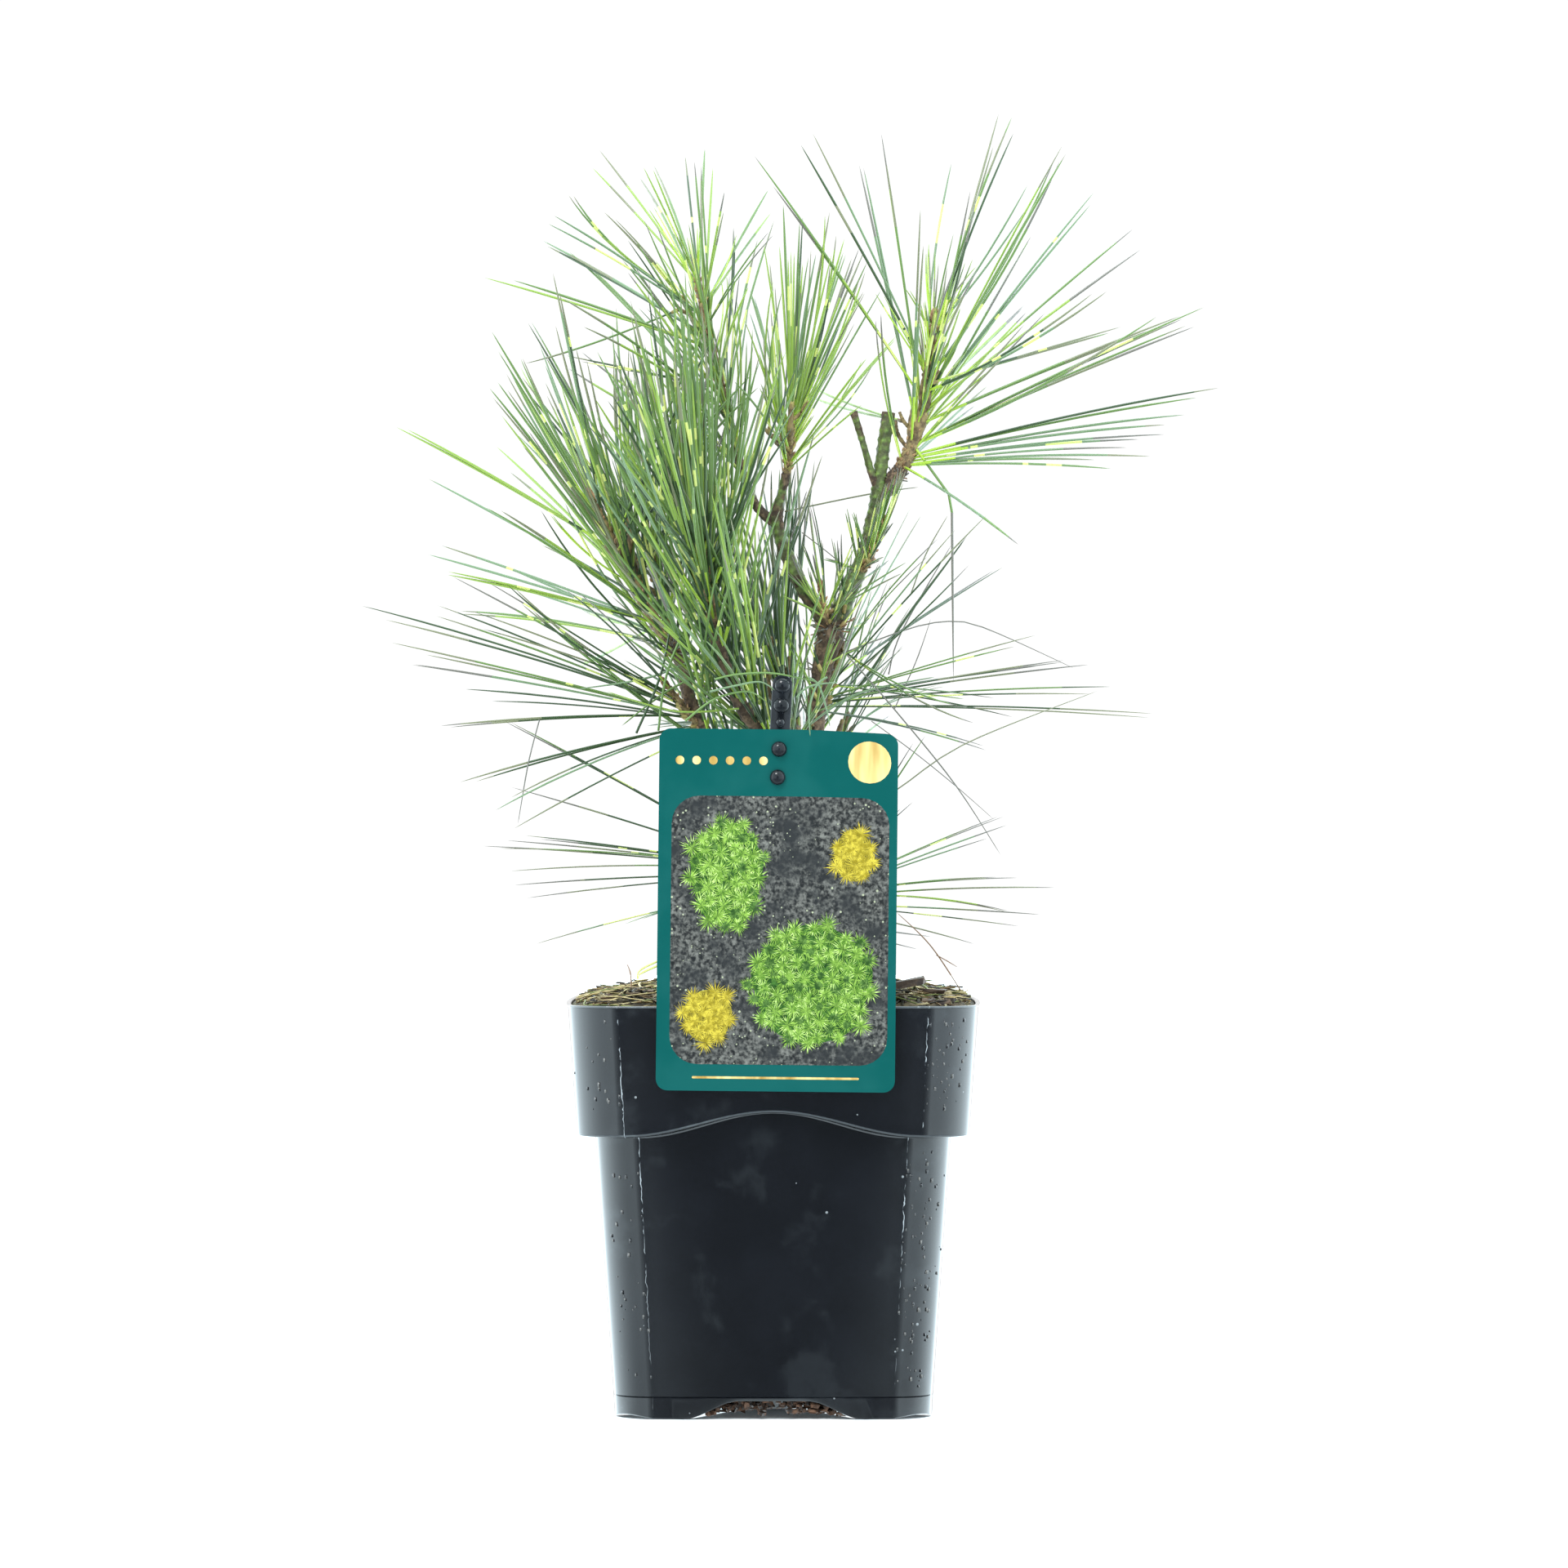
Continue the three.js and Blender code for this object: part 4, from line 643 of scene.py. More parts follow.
def card_print(name, dark, light, scale=90.0, stretch=(1, 1, 1), **sockets):
    """Glossy print on plastic, with a slight unevenness of colour."""
    material, tree, shader, where = start_material(name, Specular_IOR_Level=0.12, **sockets)
    where = add_node(tree, "ShaderNodeMapping", {"Vector": where, "Scale": stretch}).outputs["Vector"]
    tint = mottle(tree, where, scale, dark, light, Detail=3.0, Low=0.35, High=0.65)
    feed(tree, shader, tint["Color"], ranged(tree, tint["Mask"], 0.3, 0.42))
    return material


def card_gravel():
    """The card's printed dark gravel ground."""
    material, tree, shader, where = start_material("card_gravel", Specular_IOR_Level=0.12)
    ground = mottle(
        tree, where, 620.0, (0.01, 0.0105, 0.011), (0.13, 0.126, 0.113), Detail=8.0, Low=0.36, High=0.72
    )
    clods = mottle(
        tree, where, 100.0, (0.018, 0.019, 0.02), ground["Color"], Detail=9.0, Low=0.3, High=0.62
    )
    pale = flecks(tree, where, 900.0, 0.42, 0.09)
    colour = blend_colours(tree, pale, clods["Color"], (0.24, 0.25, 0.17))
    feed(tree, shader, colour, ranged(tree, ground["Mask"], 0.3, 0.45))
    return material


def stake_plastic(settings):
    """Shiny charcoal plastic with a faint moulded ripple."""
    material, tree, shader, where = start_material("stake_plastic", Specular_IOR_Level=0.26)
    body = mottle(tree, where, 120.0, settings.stake, tinted(settings.stake, 2.2))
    rough = ranged(tree, body["Mask"], 0.1, 0.2)
    feed(tree, shader, body["Color"], rough, body["Mask"], strength=0.06, distance=0.4 * MM)
    return material


def bead():
    """Wet crumbs and beads of dirty water on the plastic."""
    material, tree, shader, where = start_material("bead", Specular_IOR_Level=0.6)
    film = mottle(tree, where, 300.0, (0.008, 0.009, 0.011), (0.09, 0.085, 0.08))
    feed(tree, shader, film["Color"], ranged(tree, film["Mask"], 0.08, 0.3))
    return material


# Meshes.
def link_object(name, data):
    """A new object in the scene."""
    made = bpy.data.objects.new(name, data)
    bpy.context.scene.collection.objects.link(made)
    return made


def add_piece(name, mesh, materials, slot, *nodes):
    """Puts a finished mesh in the scene as a piece that may stand for some of the plain solids."""
    piece = link_object(name, mesh)
    for material in materials:
        mesh.materials.append(material)
    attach(piece, BODY)
    if nodes:
        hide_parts(*nodes)
    return piece


def finish_bmesh(bm, name, smooth=True, sharp=None):
    """Makes a mesh of a bmesh, with its faces pointing outwards, and edges sharp from an angle."""
    bmesh.ops.recalc_face_normals(bm, faces=bm.faces)
    for face in bm.faces:
        face.smooth = smooth
    mesh = bpy.data.meshes.new(name)
    bm.to_mesh(mesh)
    bm.free()
    if sharp is not None:
        mesh.set_sharp_from_angle(angle=math.radians(sharp))
    return mesh


def new_verts(grown):
    """The vertices that an extrusion made."""
    return [item for item in grown["geom"] if isinstance(item, bmesh.types.BMVert)]


def ring_edges(bm, ring):
    return [bm.edges.get(pair) for pair in zip(ring, ring[1:] + ring[:1])]


def first_ring(bm, places):
    """A closed ring of vertices at the given places."""
    ring = bmesh.ops.create_circle(bm, cap_ends=False, segments=len(places), radius=1.0)["verts"]
    for vert, place in zip(ring, places):
        vert.co = place
    return ring


def next_ring(bm, ring, places):
    """Extrudes a ring once and moves the new vertices to their places."""
    new = set(new_verts(bmesh.ops.extrude_edge_only(bm, edges=ring_edges(bm, ring))))
    after = []
    for vert, place in zip(ring, places):
        follower = next(other for other in (e.other_vert(vert) for e in vert.link_edges) if other in new)
        follower.co = place
        after.append(follower)
    return after


def close_ring(bm, ring):
    """Fills a ring with one face."""
    return bmesh.ops.contextual_create(bm, geom=ring_edges(bm, ring))["faces"][0]


def loft(bm, rings, marks=()):
    """Joins rings of places into a closed skin, and returns its last face.

    marks holds pairs of a vertex layer and its values, a row for each ring.
    """
    ring = None
    for number, places in enumerate(rings):
        if ring is None:
            ring = first_ring(bm, places)
            close_ring(bm, ring)
        else:
            ring = next_ring(bm, ring, places)
        for layer, rows in marks:
            for vert, value in zip(ring, rows[number]):
                vert[layer] = value
    return close_ring(bm, ring)


def mesh_from_arrays(name, points, triangles, kinds=None, smooth=True):
    """A mesh of triangles from arrays of places, corners and material numbers."""
    mesh = bpy.data.meshes.new(name)
    mesh.from_pydata(points, [], triangles)
    if kinds is not None:
        mesh.polygons.foreach_set("material_index", np.ascontiguousarray(kinds, np.int32))
    mesh.polygons.foreach_set("use_smooth", np.full(len(triangles), smooth))
    mesh.validate()
    return mesh


def unit(vectors):
    return vectors / np.maximum(np.linalg.norm(vectors, axis=-1, keepdims=True), 1e-12)


def tubes(paths, radii, sides=3):
    """Places and triangles of many tubes, each closed at its foot and pointed at its tip.

    paths is (tubes, rings, 3) and radii (tubes, rings), both in millimetres.
    """
    paths = np.asarray(paths, float)
    radii = np.asarray(radii, float)
    count, rings, _ = paths.shape
    tangents = unit(np.gradient(paths, axis=1))
    heading = unit(paths[:, -1] - paths[:, 0])
    is_steep = np.abs(heading @ np.array(ASKEW))[:, None] > 0.85
    beside = np.where(is_steep, (0.8, -0.1, 0.59), np.array(ASKEW))
    across = unit(np.cross(tangents, beside[:, None, :]))
    normal = np.cross(across, tangents)
    turns = 2 * np.pi * np.arange(sides) / sides
    out = (
        np.cos(turns)[None, None, :, None] * normal[:, :-1, None, :]
        + np.sin(turns)[None, None, :, None] * across[:, :-1, None, :]
    )
    skin = paths[:, :-1, None, :] + radii[:, :-1, None, None] * out
    each = (rings - 1) * sides + 1
    points = np.concatenate([skin.reshape(count, -1, 3), paths[:, -1:, :]], axis=1)
    corners = []
    for ring in range(rings - 2):
        for side in range(sides):
            a = ring * sides + side
            b = ring * sides + (side + 1) % sides
            corners += [(a, a + sides, b), (b, a + sides, b + sides)]
    last = (rings - 2) * sides
    corners += [(last + side, each - 1, last + (side + 1) % sides) for side in range(sides)]
    corners += [(0, side, side + 1) for side in range(1, sides - 1)]
    pattern = np.array(corners)
    triangles = pattern[None] + (each * np.arange(count))[:, None, None]
    return points.reshape(-1, 3) * MM, triangles.reshape(-1, 3)


def tube_kinds(stretch_kinds, sides=3):
    """Material numbers of the triangles of tubes, from one number for each stretch."""
    stretch_kinds = np.asarray(stretch_kinds)
    body = np.repeat(stretch_kinds[:, :-1], 2 * sides, axis=1)
    tip = np.repeat(stretch_kinds[:, -1:], sides, axis=1)
    foot = np.repeat(stretch_kinds[:, :1], sides - 2, axis=1)
    return np.concatenate([body, tip, foot], axis=1).ravel()


def add_tubes(name, paths, radii, materials, slot, stretch_kinds=None, sides=3):
    """Adds a piece of tubes, all of the first material or with a material for each stretch."""
    points, triangles = tubes(paths, radii, sides)
    kinds = None if stretch_kinds is None else tube_kinds(stretch_kinds, sides)
    add_piece(name, mesh_from_arrays(name, points, triangles, kinds), materials, slot)


def smooth_line(points, radii, step):
    """Points and radii at even steps along a smooth curve through the given points."""
    points = [Vector(p) for p in points]
    spans = [0.0]
    for a, b in zip(points, points[1:]):
        spans.append(spans[-1] + (b - a).length)
    count = max(int(spans[-1] / step), 3)
    line = []
    widths = []
    for k in range(count + 1):
        along = spans[-1] * k / count
        i = max(j for j in range(len(spans) - 1) if spans[j] <= along + 1e-9)
        share = (along - spans[i]) / (spans[i + 1] - spans[i])
        before = points[max(i - 1, 0)]
        after = points[min(i + 2, len(points) - 1)]
        a, b = points[i], points[i + 1]
        slope_a = (b - before) / 2
        slope_b = (after - a) / 2
        s2, s3 = share**2, share**3
        line.append(
            a * (2 * s3 - 3 * s2 + 1) + slope_a * (s3 - 2 * s2 + share)
            + b * (3 * s2 - 2 * s3) + slope_b * (s3 - s2)
        )
        widths.append(radii[i] + (radii[i + 1] - radii[i]) * share)
    return line, widths


def direction(line, i):
    """The direction of a curve at its place of that number."""
    return (line[min(i + 1, len(line) - 1)] - line[max(i - 1, 0)]).normalized()


def even_frames(line):
    """Directions along and across a curve that turn as little as they can."""
    normal = ASKEW.copy()
    frames = []
    for i, _ in enumerate(line):
        along = direction(line, i)
        normal = (normal - along * normal.dot(along)).normalized()
        frames.append((along, normal.copy(), along.cross(normal)))
    return frames


# The pot. POT_SHAPE holds shares of its half width, and the tables small steps of its profile,
# outwards and upwards, in millimetres.
POT_SHAPE = {"corner": 0.24, "bow": 0.026, "pad": 0.28, "pad_slope": 0.1, "slot": 0.82}
FOOT_EDGE = [(-0.4, 0.05), (0, 0.5)]
BAND = [(0.4, 0), (0.1, 0.3), (0.45, 0.6)]
COLLAR_EDGE = [(-1.3, 0), (-0.7, 0.1), (-0.25, 0.35), (0, 0.8), (0.02, 1.2)]
LIP_FOOT = [(0.25, 0.1), (0.4, 0.3)]
LIP_TOP = [(0.4, -0.3), (0.3, -0.1), (0.1, 0)]
BAND_OVER_ARCH = 1.2 * MM
LIP_HEIGHT = 0.9 * MM
ARCH_HALF_WIDTH = 36 * MM
ARCH_SLOPE = 22 * MM
CORNER_LIFT = 1.6 * MM
LIFT_FADE = 8 * MM
SLOT_LENGTH, SLOT_WIDTH = 26 * MM, 9 * MM
SIDE_STEPS, CORNER_STEPS, RISE_STEPS = 26, 14, 8
STRAIGHT = 1 - POT_SHAPE["bow"] - POT_SHAPE["corner"]


def unit_outline(side_steps=SIDE_STEPS, corner_steps=CORNER_STEPS):
    """The pot's outline at half width 1: (x, y, side, corner), with side from -1 to 1 along a
    side and corner the share of the way round a corner."""
    radius = POT_SHAPE["corner"]
    outline = []
    for quarter in range(4):
        turn = quarter * math.pi / 2

        def place(across, out, side, corner):
            x = out * math.sin(turn) + across * math.cos(turn)
            y = -out * math.cos(turn) + across * math.sin(turn)
            outline.append((x, y, side, corner))

        for k in range(side_steps):
            side = 2 * k / side_steps - 1
            place(STRAIGHT * side, 1 - POT_SHAPE["bow"] * side * side, side, 0.0)
        for k in range(corner_steps):
            angle = math.pi / 2 * k / corner_steps
            across = STRAIGHT + radius * math.sin(angle)
            place(across, STRAIGHT + radius * math.cos(angle), 1.0, k / corner_steps)
    return outline


def crease_distance(side, corner, half_width):
    """How far a place on the outline is from the crease beside it, below 0 round a corner."""
    if corner > 0:
        return -min(corner, 1 - corner) * math.pi / 2 * POT_SHAPE["corner"] * half_width
    return (1 - abs(side)) * STRAIGHT * half_width


def shoulder_at(pot, side):
    return pot.shoulder_height + pot.shoulder_rise * (0.5 + 0.5 * math.cos(math.pi * side))


def arch_at(pot, side):
    inward = min(max((ARCH_HALF_WIDTH - abs(side) * STRAIGHT * pot.foot) / ARCH_SLOPE, 0.0), 1.0)
    return pot.arch * inward * inward * (3 - 2 * inward)


def pot_profile(pot):
    """The pot's rings from its underside, over the rim and down inside: a half width, and the
    height as a function of the place along a side."""
    wall, top, collar = pot.wall, pot.height, pot.collar
    pad = pot.foot * POT_SHAPE["pad"]
    pad_foot = pot.foot * (POT_SHAPE["pad"] + POT_SHAPE["pad_slope"])
    band = pot.arch + BAND_OVER_ARCH
    swell, start = BAND[-1][0] * MM, band + BAND[-1][1] * MM
    lip = top - LIP_HEIGHT

    def level(height, up=0.0):
        return lambda side: height + up

    def arch(up=0.0):
        return lambda side: arch_at(pot, side) + up

    def shoulder(up=0.0):
        return lambda side: shoulder_at(pot, side) + up

    def wall_at(share):
        return lambda side: start + (shoulder_at(pot, side) - 0.5 * MM - start) * share

    def collar_at(share):
        return lambda side: shoulder_at(pot, side) * (1 - share) + lip * share + MM * (1 - share)

    def stepped(width, height, steps):
        return [(width + out * MM, height(up * MM)) for out, up in steps]

    shares = [k / RISE_STEPS for k in range(1, RISE_STEPS + 1)]
    return [
        (pad, level(0.0)), (pad_foot, arch()), (pot.foot - wall, arch()),
        *stepped(pot.foot, arch, FOOT_EDGE),
        *stepped(pot.foot, lambda up: level(band, up), BAND),
        *[(pot.foot + swell + (pot.shoulder - pot.foot - swell) * s, wall_at(s)) for s in shares],
        (pot.shoulder + 0.5 * MM, shoulder()),
        *stepped(collar, shoulder, COLLAR_EDGE),
        *[(collar + (pot.rim - collar) * s, collar_at(s)) for s in shares],
        *stepped(pot.rim, lambda up: level(lip, up), LIP_FOOT),
        *stepped(pot.rim, lambda up: level(top, up), LIP_TOP),
        (pot.rim - wall + 0.4 * MM, level(top)), (pot.rim - wall, level(top - 0.4 * MM)),
        (collar - wall, shoulder(wall)), (pot.shoulder - wall, shoulder(wall)),
        (pot.foot - wall, arch(wall)), (pad_foot, arch(wall)), (pad, level(wall)),
    ]


def has_painted_highlight(pot, half_width):
    """Whether a ring lies on the collar's lower edge or the rim, which carry a painted highlight."""
    return min(abs(half_width - pot.collar), abs(half_width - pot.rim - 0.4 * MM)) < 0.01 * MM


def build_pot(pot):
    outline = unit_outline()
    rings, creases, painted_highlights = [], [], []
    for half_width, height in pot_profile(pot):
        places = []
        for x, y, side, corner in outline:
            z = height(side)
            lift = CORNER_LIFT * math.sin(math.pi * corner) if pot.foot / 2 < half_width else 0
            places.append(Vector((x * half_width, y * half_width, z + lift * max(1 - z / LIFT_FADE, 0))))
        rings.append(places)
        creases.append([crease_distance(side, corner, half_width) for _, _, side, corner in outline])
        painted_highlights.append([float(has_painted_highlight(pot, half_width))] * len(outline))
    bm = bmesh.new()
    crease = bm.verts.layers.float.new("crease")
    # This layer marks the rings that carry the painted highlight.
    rubbed = bm.verts.layers.float.new("rubbed")
    loft(bm, rings, [(crease, creases), (rubbed, painted_highlights)])
    mesh = finish_bmesh(bm, "pot_shell", sharp=38)
    piece = add_piece("pot_shell", mesh, [pot_plastic(pot)], "pot_plastic", "pot")
    cut_slots(piece, pot)


def cut_slots(piece, pot):
    """Cuts the drainage slots through the pot's floor."""
    bm = bmesh.new()
    for quarter in range(4):
        turn = Matrix.Rotation(quarter * math.pi / 2, 4, "Z")
        middle = Matrix.Translation((0, -pot.foot * POT_SHAPE["slot"], pot.arch))
        size = Matrix.Diagonal((SLOT_LENGTH, SLOT_WIDTH, 3 * pot.arch, 1))
        bmesh.ops.create_cube(bm, size=1.0, matrix=turn @ middle @ size)
    cutter = link_object("slots", finish_bmesh(bm, "slots", smooth=False))
    cut = piece.modifiers.new("slots", "BOOLEAN")
    cut.object = cutter
    cut.operation = "DIFFERENCE"
    cut.solver = "EXACT"
    depsgraph = bpy.context.evaluated_depsgraph_get()
    made = bpy.data.meshes.new_from_object(piece.evaluated_get(depsgraph), depsgraph=depsgraph)
    old = piece.data
    piece.modifiers.clear()
    piece.data = made
    made.name = piece.name
    bpy.data.meshes.remove(old)
    bpy.data.objects.remove(cutter)


def pot_side(pot, height, corner):
    """A place round a front corner of the pot's side at a height, and the outward direction."""
    shoulder = shoulder_at(pot, 1.0)
    width = pot.foot + (pot.shoulder - pot.foot) * min(max(height / shoulder, 0.0), 1.0)
    if height > shoulder + 1 * MM:
        width = pot.collar + (pot.rim - pot.collar) * ((height - shoulder) / (pot.height - shoulder))
    angle = math.pi / 2 * corner
    out = Vector((math.sin(angle), -math.cos(angle), 0))
    middle = Vector((STRAIGHT, -STRAIGHT, 0)) * width
    return middle + out * (POT_SHAPE["corner"] * width) + Vector((0, 0, height)), out


BEAD_COUNT = 210
BEAD_HEIGHTS = ((12, 108), (30, 100), (124, 160))
CLUMP_COUNT = 900
CLUMP_SPANS = ((-27, -1), (6, 24), (-22, 30))
CLUMP_CEILING = 7.6


def build_pot_dirt(pot):
    """Beads of water and crumbs on the pot's corners, and dark root clumps under its arches that also fill
    them with painted shade.
    """
    rng = random.Random(31)
    beads = []
    for i in range(BEAD_COUNT):
        height = rng.choice([rng.uniform(*span) for span in BEAD_HEIGHTS]) * MM
        place, out = pot_side(pot, height, min(abs(rng.gauss(0.3, 0.22)), 0.95))
        if i % 4 == 0:
            place.x, out.x = -place.x, -out.x
        size = rng.uniform(0.5, 1.5) ** 1.6 * 0.7
        turn = out.to_track_quat("Z", "Y").to_matrix()
        beads.append((place / MM + out * 0.05, (size * 0.75, 1.5 * size, 0.6 * size), turn))
    add_lumps("pot_beads", beads, 31, [bead()], "pot_plastic", spread=0.12, smooth=True)
    # The clumps are partly roots and partly painted shade: many dark lumps fill the arches.
    clumps = []
    for i in range(CLUMP_COUNT):
        across = rng.choice([rng.uniform(*span) for span in CLUMP_SPANS])
        turn = Matrix.Rotation(i % 4 * math.pi / 2, 3, "Z")
        ceiling = min(CLUMP_CEILING, 1.5 + (36 - abs(across)) * 0.42)
        place = turn @ Vector((across, -rng.uniform(48, 62.5), ceiling - 5.2 * rng.random() ** 1.3))
        size = (rng.uniform(1.2, 5), rng.uniform(1, 3.6), rng.uniform(0.7, 2))
        place.z = max(place.z, max(size) * 0.7)
        clumps.append((tuple(place), size, turn @ random_turn(rng, 30)))
    root = litter_stuff("root", (0.012, 0.007, 0.005), (0.12, 0.06, 0.035), scale=350.0)
    add_lumps("root_clumps", clumps, 33, [root], "potting_soil")


# The soil and its litter.
def outline_radius():
    """The pot's outline at half width 1, as a function of the bearing."""
    outline = unit_outline()
    bearings = np.array([math.atan2(y, x) for x, y, _, _ in outline])
    reach = np.array([math.hypot(x, y) for x, y, _, _ in outline])
    order = np.argsort(bearings)
    return lambda bearing: float(np.interp(bearing, bearings[order], reach[order], period=2 * math.pi))


OUTLINE_RADIUS = outline_radius()
SOIL_HALF_WIDTH = 81.8
SOIL_GAP = 2.0
SOIL_FLOOR = 10.4
MOUND = ([0, 0.24, 0.55, 0.8, 0.93, 0.985, 1.0], [172, 172, 170.8, 168.4, 166.2, 164.4, 164.2])
MOUND_STEPS = 46
TRUNK_X, TRUNK_Y = 3.4, 4
TRUNK_CLEARANCE = 10
STRAW_LIFT = (0.3, 1.6)
STRAW_LIMIT = 0.98
# Two large chips: place, size, and turns about the upright and across.
LARGE_CHIPS = [((55, -44, 173.4), (15, 6, 2.8), 0.25, -0.2), ((64, -52, 170.2), (11, 4.5, 2), -0.3, 0)]


def soil_share(x, y):
    """How far out a place on the soil lies: 0 in the middle, 1 at the wall. Millimetres."""
    return math.hypot(x, y) / (SOIL_HALF_WIDTH * OUTLINE_RADIUS(math.atan2(y, x)))


def soil_top(x, y):
    """The height of the soil's surface at a place, in millimetres."""
    share = soil_share(x, y)
    height = float(np.interp(share, *MOUND))
    quiet = min(max((1 - share) / 0.06, 0.0), 1.0)
    rough = 1.5 * noise.noise((x / 11, y / 11, 3.1)) + 0.9 * noise.noise((x / 4.2, y / 4.2, 7.7))
    rough += 0.5 * noise.noise((x / 1.9, y / 1.9, 1.3))
    return height + quiet * rough


def build_soil(soil, pot):
    outline = unit_outline(16, 8)
    foot, shoulder, collar = (width / MM - SOIL_GAP for width in (pot.foot, pot.shoulder, pot.collar))
    rings = []
    for width, in_collar in ((foot * 0.3, False), (foot, False), (shoulder, True), (collar, True)):
        places = []
        for x, y, side, _ in outline:
            height = shoulder_at(pot, side) / MM + SOIL_GAP if in_collar else SOIL_FLOOR
            places.append(Vector((x * width, y * width, height)) * MM)
        rings.append(places)
    for k in range(MOUND_STEPS):
        width = SOIL_HALF_WIDTH * (1 - k / MOUND_STEPS)
        spots = [(x * width, y * width) for x, y, _, _ in outline]
        rings.append([Vector((*spot, soil_top(*spot))) * MM for spot in spots])
    bm = bmesh.new()
    loft(bm, rings)
    add_piece("soil_heap", finish_bmesh(bm, "soil_heap"), [soil_earth(soil)], "potting_soil", "soil")


def scattered(count, seed, most=0.965):
    """Seeded places on the soil, clear of the trunk."""
    rng = random.Random(seed)
    while count > 0:
        x = rng.uniform(-SOIL_HALF_WIDTH, SOIL_HALF_WIDTH)
        y = rng.uniform(-SOIL_HALF_WIDTH, SOIL_HALF_WIDTH)
        if soil_share(x, y) < most and math.hypot(x - TRUNK_X, y - TRUNK_Y) > TRUNK_CLEARANCE:
            count -= 1
            yield x, y, rng


def straw_paths(count, seed, lengths, tilt):
    """Curved straws that lie on the soil."""
    paths = []
    for x, y, rng in scattered(count, seed):
        length = rng.uniform(*lengths)
        turn = rng.uniform(0, 2 * math.pi)
        bend = rng.uniform(-0.5, 0.5)
        rise = math.radians(rng.uniform(-tilt, tilt))
        lift = rng.uniform(*STRAW_LIFT)
        places = []
        for share in np.linspace(-0.5, 0.5, 6):
            here = turn + bend * share
            px = x + math.cos(here) * length * share
            py = y + math.sin(here) * length * share
            if soil_share(px, py) > STRAW_LIMIT:
                shrink = STRAW_LIMIT / soil_share(px, py)
                px, py = px * shrink, py * shrink
            level = 0.5 * (soil_top(px, py) + soil_top(x, y))
            places.append((px, py, level + lift + math.sin(rise) * length * (share + 0.35)))
        paths.append(places)
    return np.array(paths)


def lump_arrays(places, seed, spread):
    """Irregular lumps: each has a centre, a size along its three axes, and a turn."""
    rng = random.Random(seed)
    corner = [(x, y, z) for x in (-1, 1) for y in (-1, 1) for z in (-1, 1)]
    faces = [(0, 1, 3), (0, 3, 2), (4, 6, 7), (4, 7, 5), (0, 4, 5), (0, 5, 1), (2, 3, 7), (2, 7, 6),
             (0, 2, 6), (0, 6, 4), (1, 5, 7), (1, 7, 3)]
    points = []
    triangles = []
    for centre, size, turn in places:
        start = len(points)
        for x, y, z in corner:
            jitter = [1 + spread * rng.uniform(-1, 1) for _ in range(3)]
            taper = 1 - 0.35 * rng.random()
            local = Vector((x * size[0] * jitter[0] * taper, y * size[1] * jitter[1] * taper,
                            z * size[2] * jitter[2])) / 2
            points.append(tuple((turn @ local + Vector(centre)) * MM))
        triangles += [tuple(start + c for c in face) for face in faces]
    return np.array(points), np.array(triangles)


def add_lumps(name, places, seed, materials, slot, shares=None, spread=0.35, smooth=False):
    """Adds a piece of lumps. shares say how many of them get each material."""
    kinds = None
    if shares:
        kinds = np.repeat(np.random.default_rng(seed + 1).choice(len(shares), len(places), p=shares), 12)
    mesh = mesh_from_arrays(name, *lump_arrays(places, seed, spread), kinds, smooth)
    add_piece(name, mesh, materials, slot)


def random_turn(rng, tilt):
    """A turn with any bearing and a small tilt, in degrees."""
    tip = Matrix.Rotation(math.radians(rng.uniform(-tilt, tilt)), 3, "X")
    return Matrix.Rotation(rng.uniform(0, 2 * math.pi), 3, "Z") @ tip


def strewn(count, seed, most, sizes, rise, tilt):
    """Lumps that lie on the soil, with their three sizes drawn between limits."""
    lumps = []
    for x, y, rng in scattered(count, seed, most):
        size = [rng.uniform(*limits) for limits in sizes]
        lumps.append(((x, y, soil_top(x, y) + rise), size, random_turn(rng, tilt)))
    return lumps


def build_litter(soil):
    """Dry needles, chips and crumbs on the soil."""
    straw = straw_paths(soil.straw_count, 5, (7, 24), 9)
    widths = np.full(straw.shape[:2], 0.42) * np.random.default_rng(5).uniform(0.7, 1.3, (len(straw), 1))
    kinds = np.random.default_rng(6).choice(4, len(straw), p=[0.34, 0.22, 0.22, 0.22])
    add_tubes("straw_litter", straw, widths, [
        litter_stuff("straw_tan", (0.34, 0.26, 0.11), (0.6, 0.5, 0.27)),
        litter_stuff("straw_brown", (0.08, 0.05, 0.024), (0.2, 0.13, 0.06)),
        litter_stuff("straw_dark", (0.016, 0.013, 0.01), (0.055, 0.045, 0.03)),
        litter_stuff("straw_green", (0.09, 0.11, 0.03), (0.24, 0.26, 0.09)),
    ], "potting_soil", np.repeat(kinds[:, None], 5, axis=1))
    chips = strewn(soil.chip_count, 8, 0.93, ((3, 9.5), (1.5, 4), (0.7, 2)), 0.6, 24)
    for place, size, upright, across in LARGE_CHIPS:
        chips.append((place, size, Matrix.Rotation(upright, 3, "Z") @ Matrix.Rotation(across, 3, "Y")))
    add_lumps("bark_chips", chips, 8, [
        litter_stuff("chip_brown", (0.035, 0.02, 0.014), (0.11, 0.07, 0.045)),
        litter_stuff("chip_dark", (0.01, 0.008, 0.007), (0.035, 0.026, 0.02)),
        litter_stuff("chip_tan", (0.28, 0.2, 0.1), (0.5, 0.4, 0.22)),
    ], "potting_soil", shares=[0.5, 0.3, 0.2])
    crumbs = strewn(soil.crumb_count, 12, 0.97, [(0.7, 2.4)] * 3, 0.3, 80)
    crumb = litter_stuff("crumb", (0.014, 0.012, 0.007), (0.2, 0.16, 0.085), scale=420.0)
    add_lumps("soil_crumbs", crumbs, 12, [crumb], "potting_soil")


# The limbs. The cushions of old needles stand in rows up a limb, in millimetres.
SCAR_PITCH = 3.3
SCAR_WIDTH = 3.4


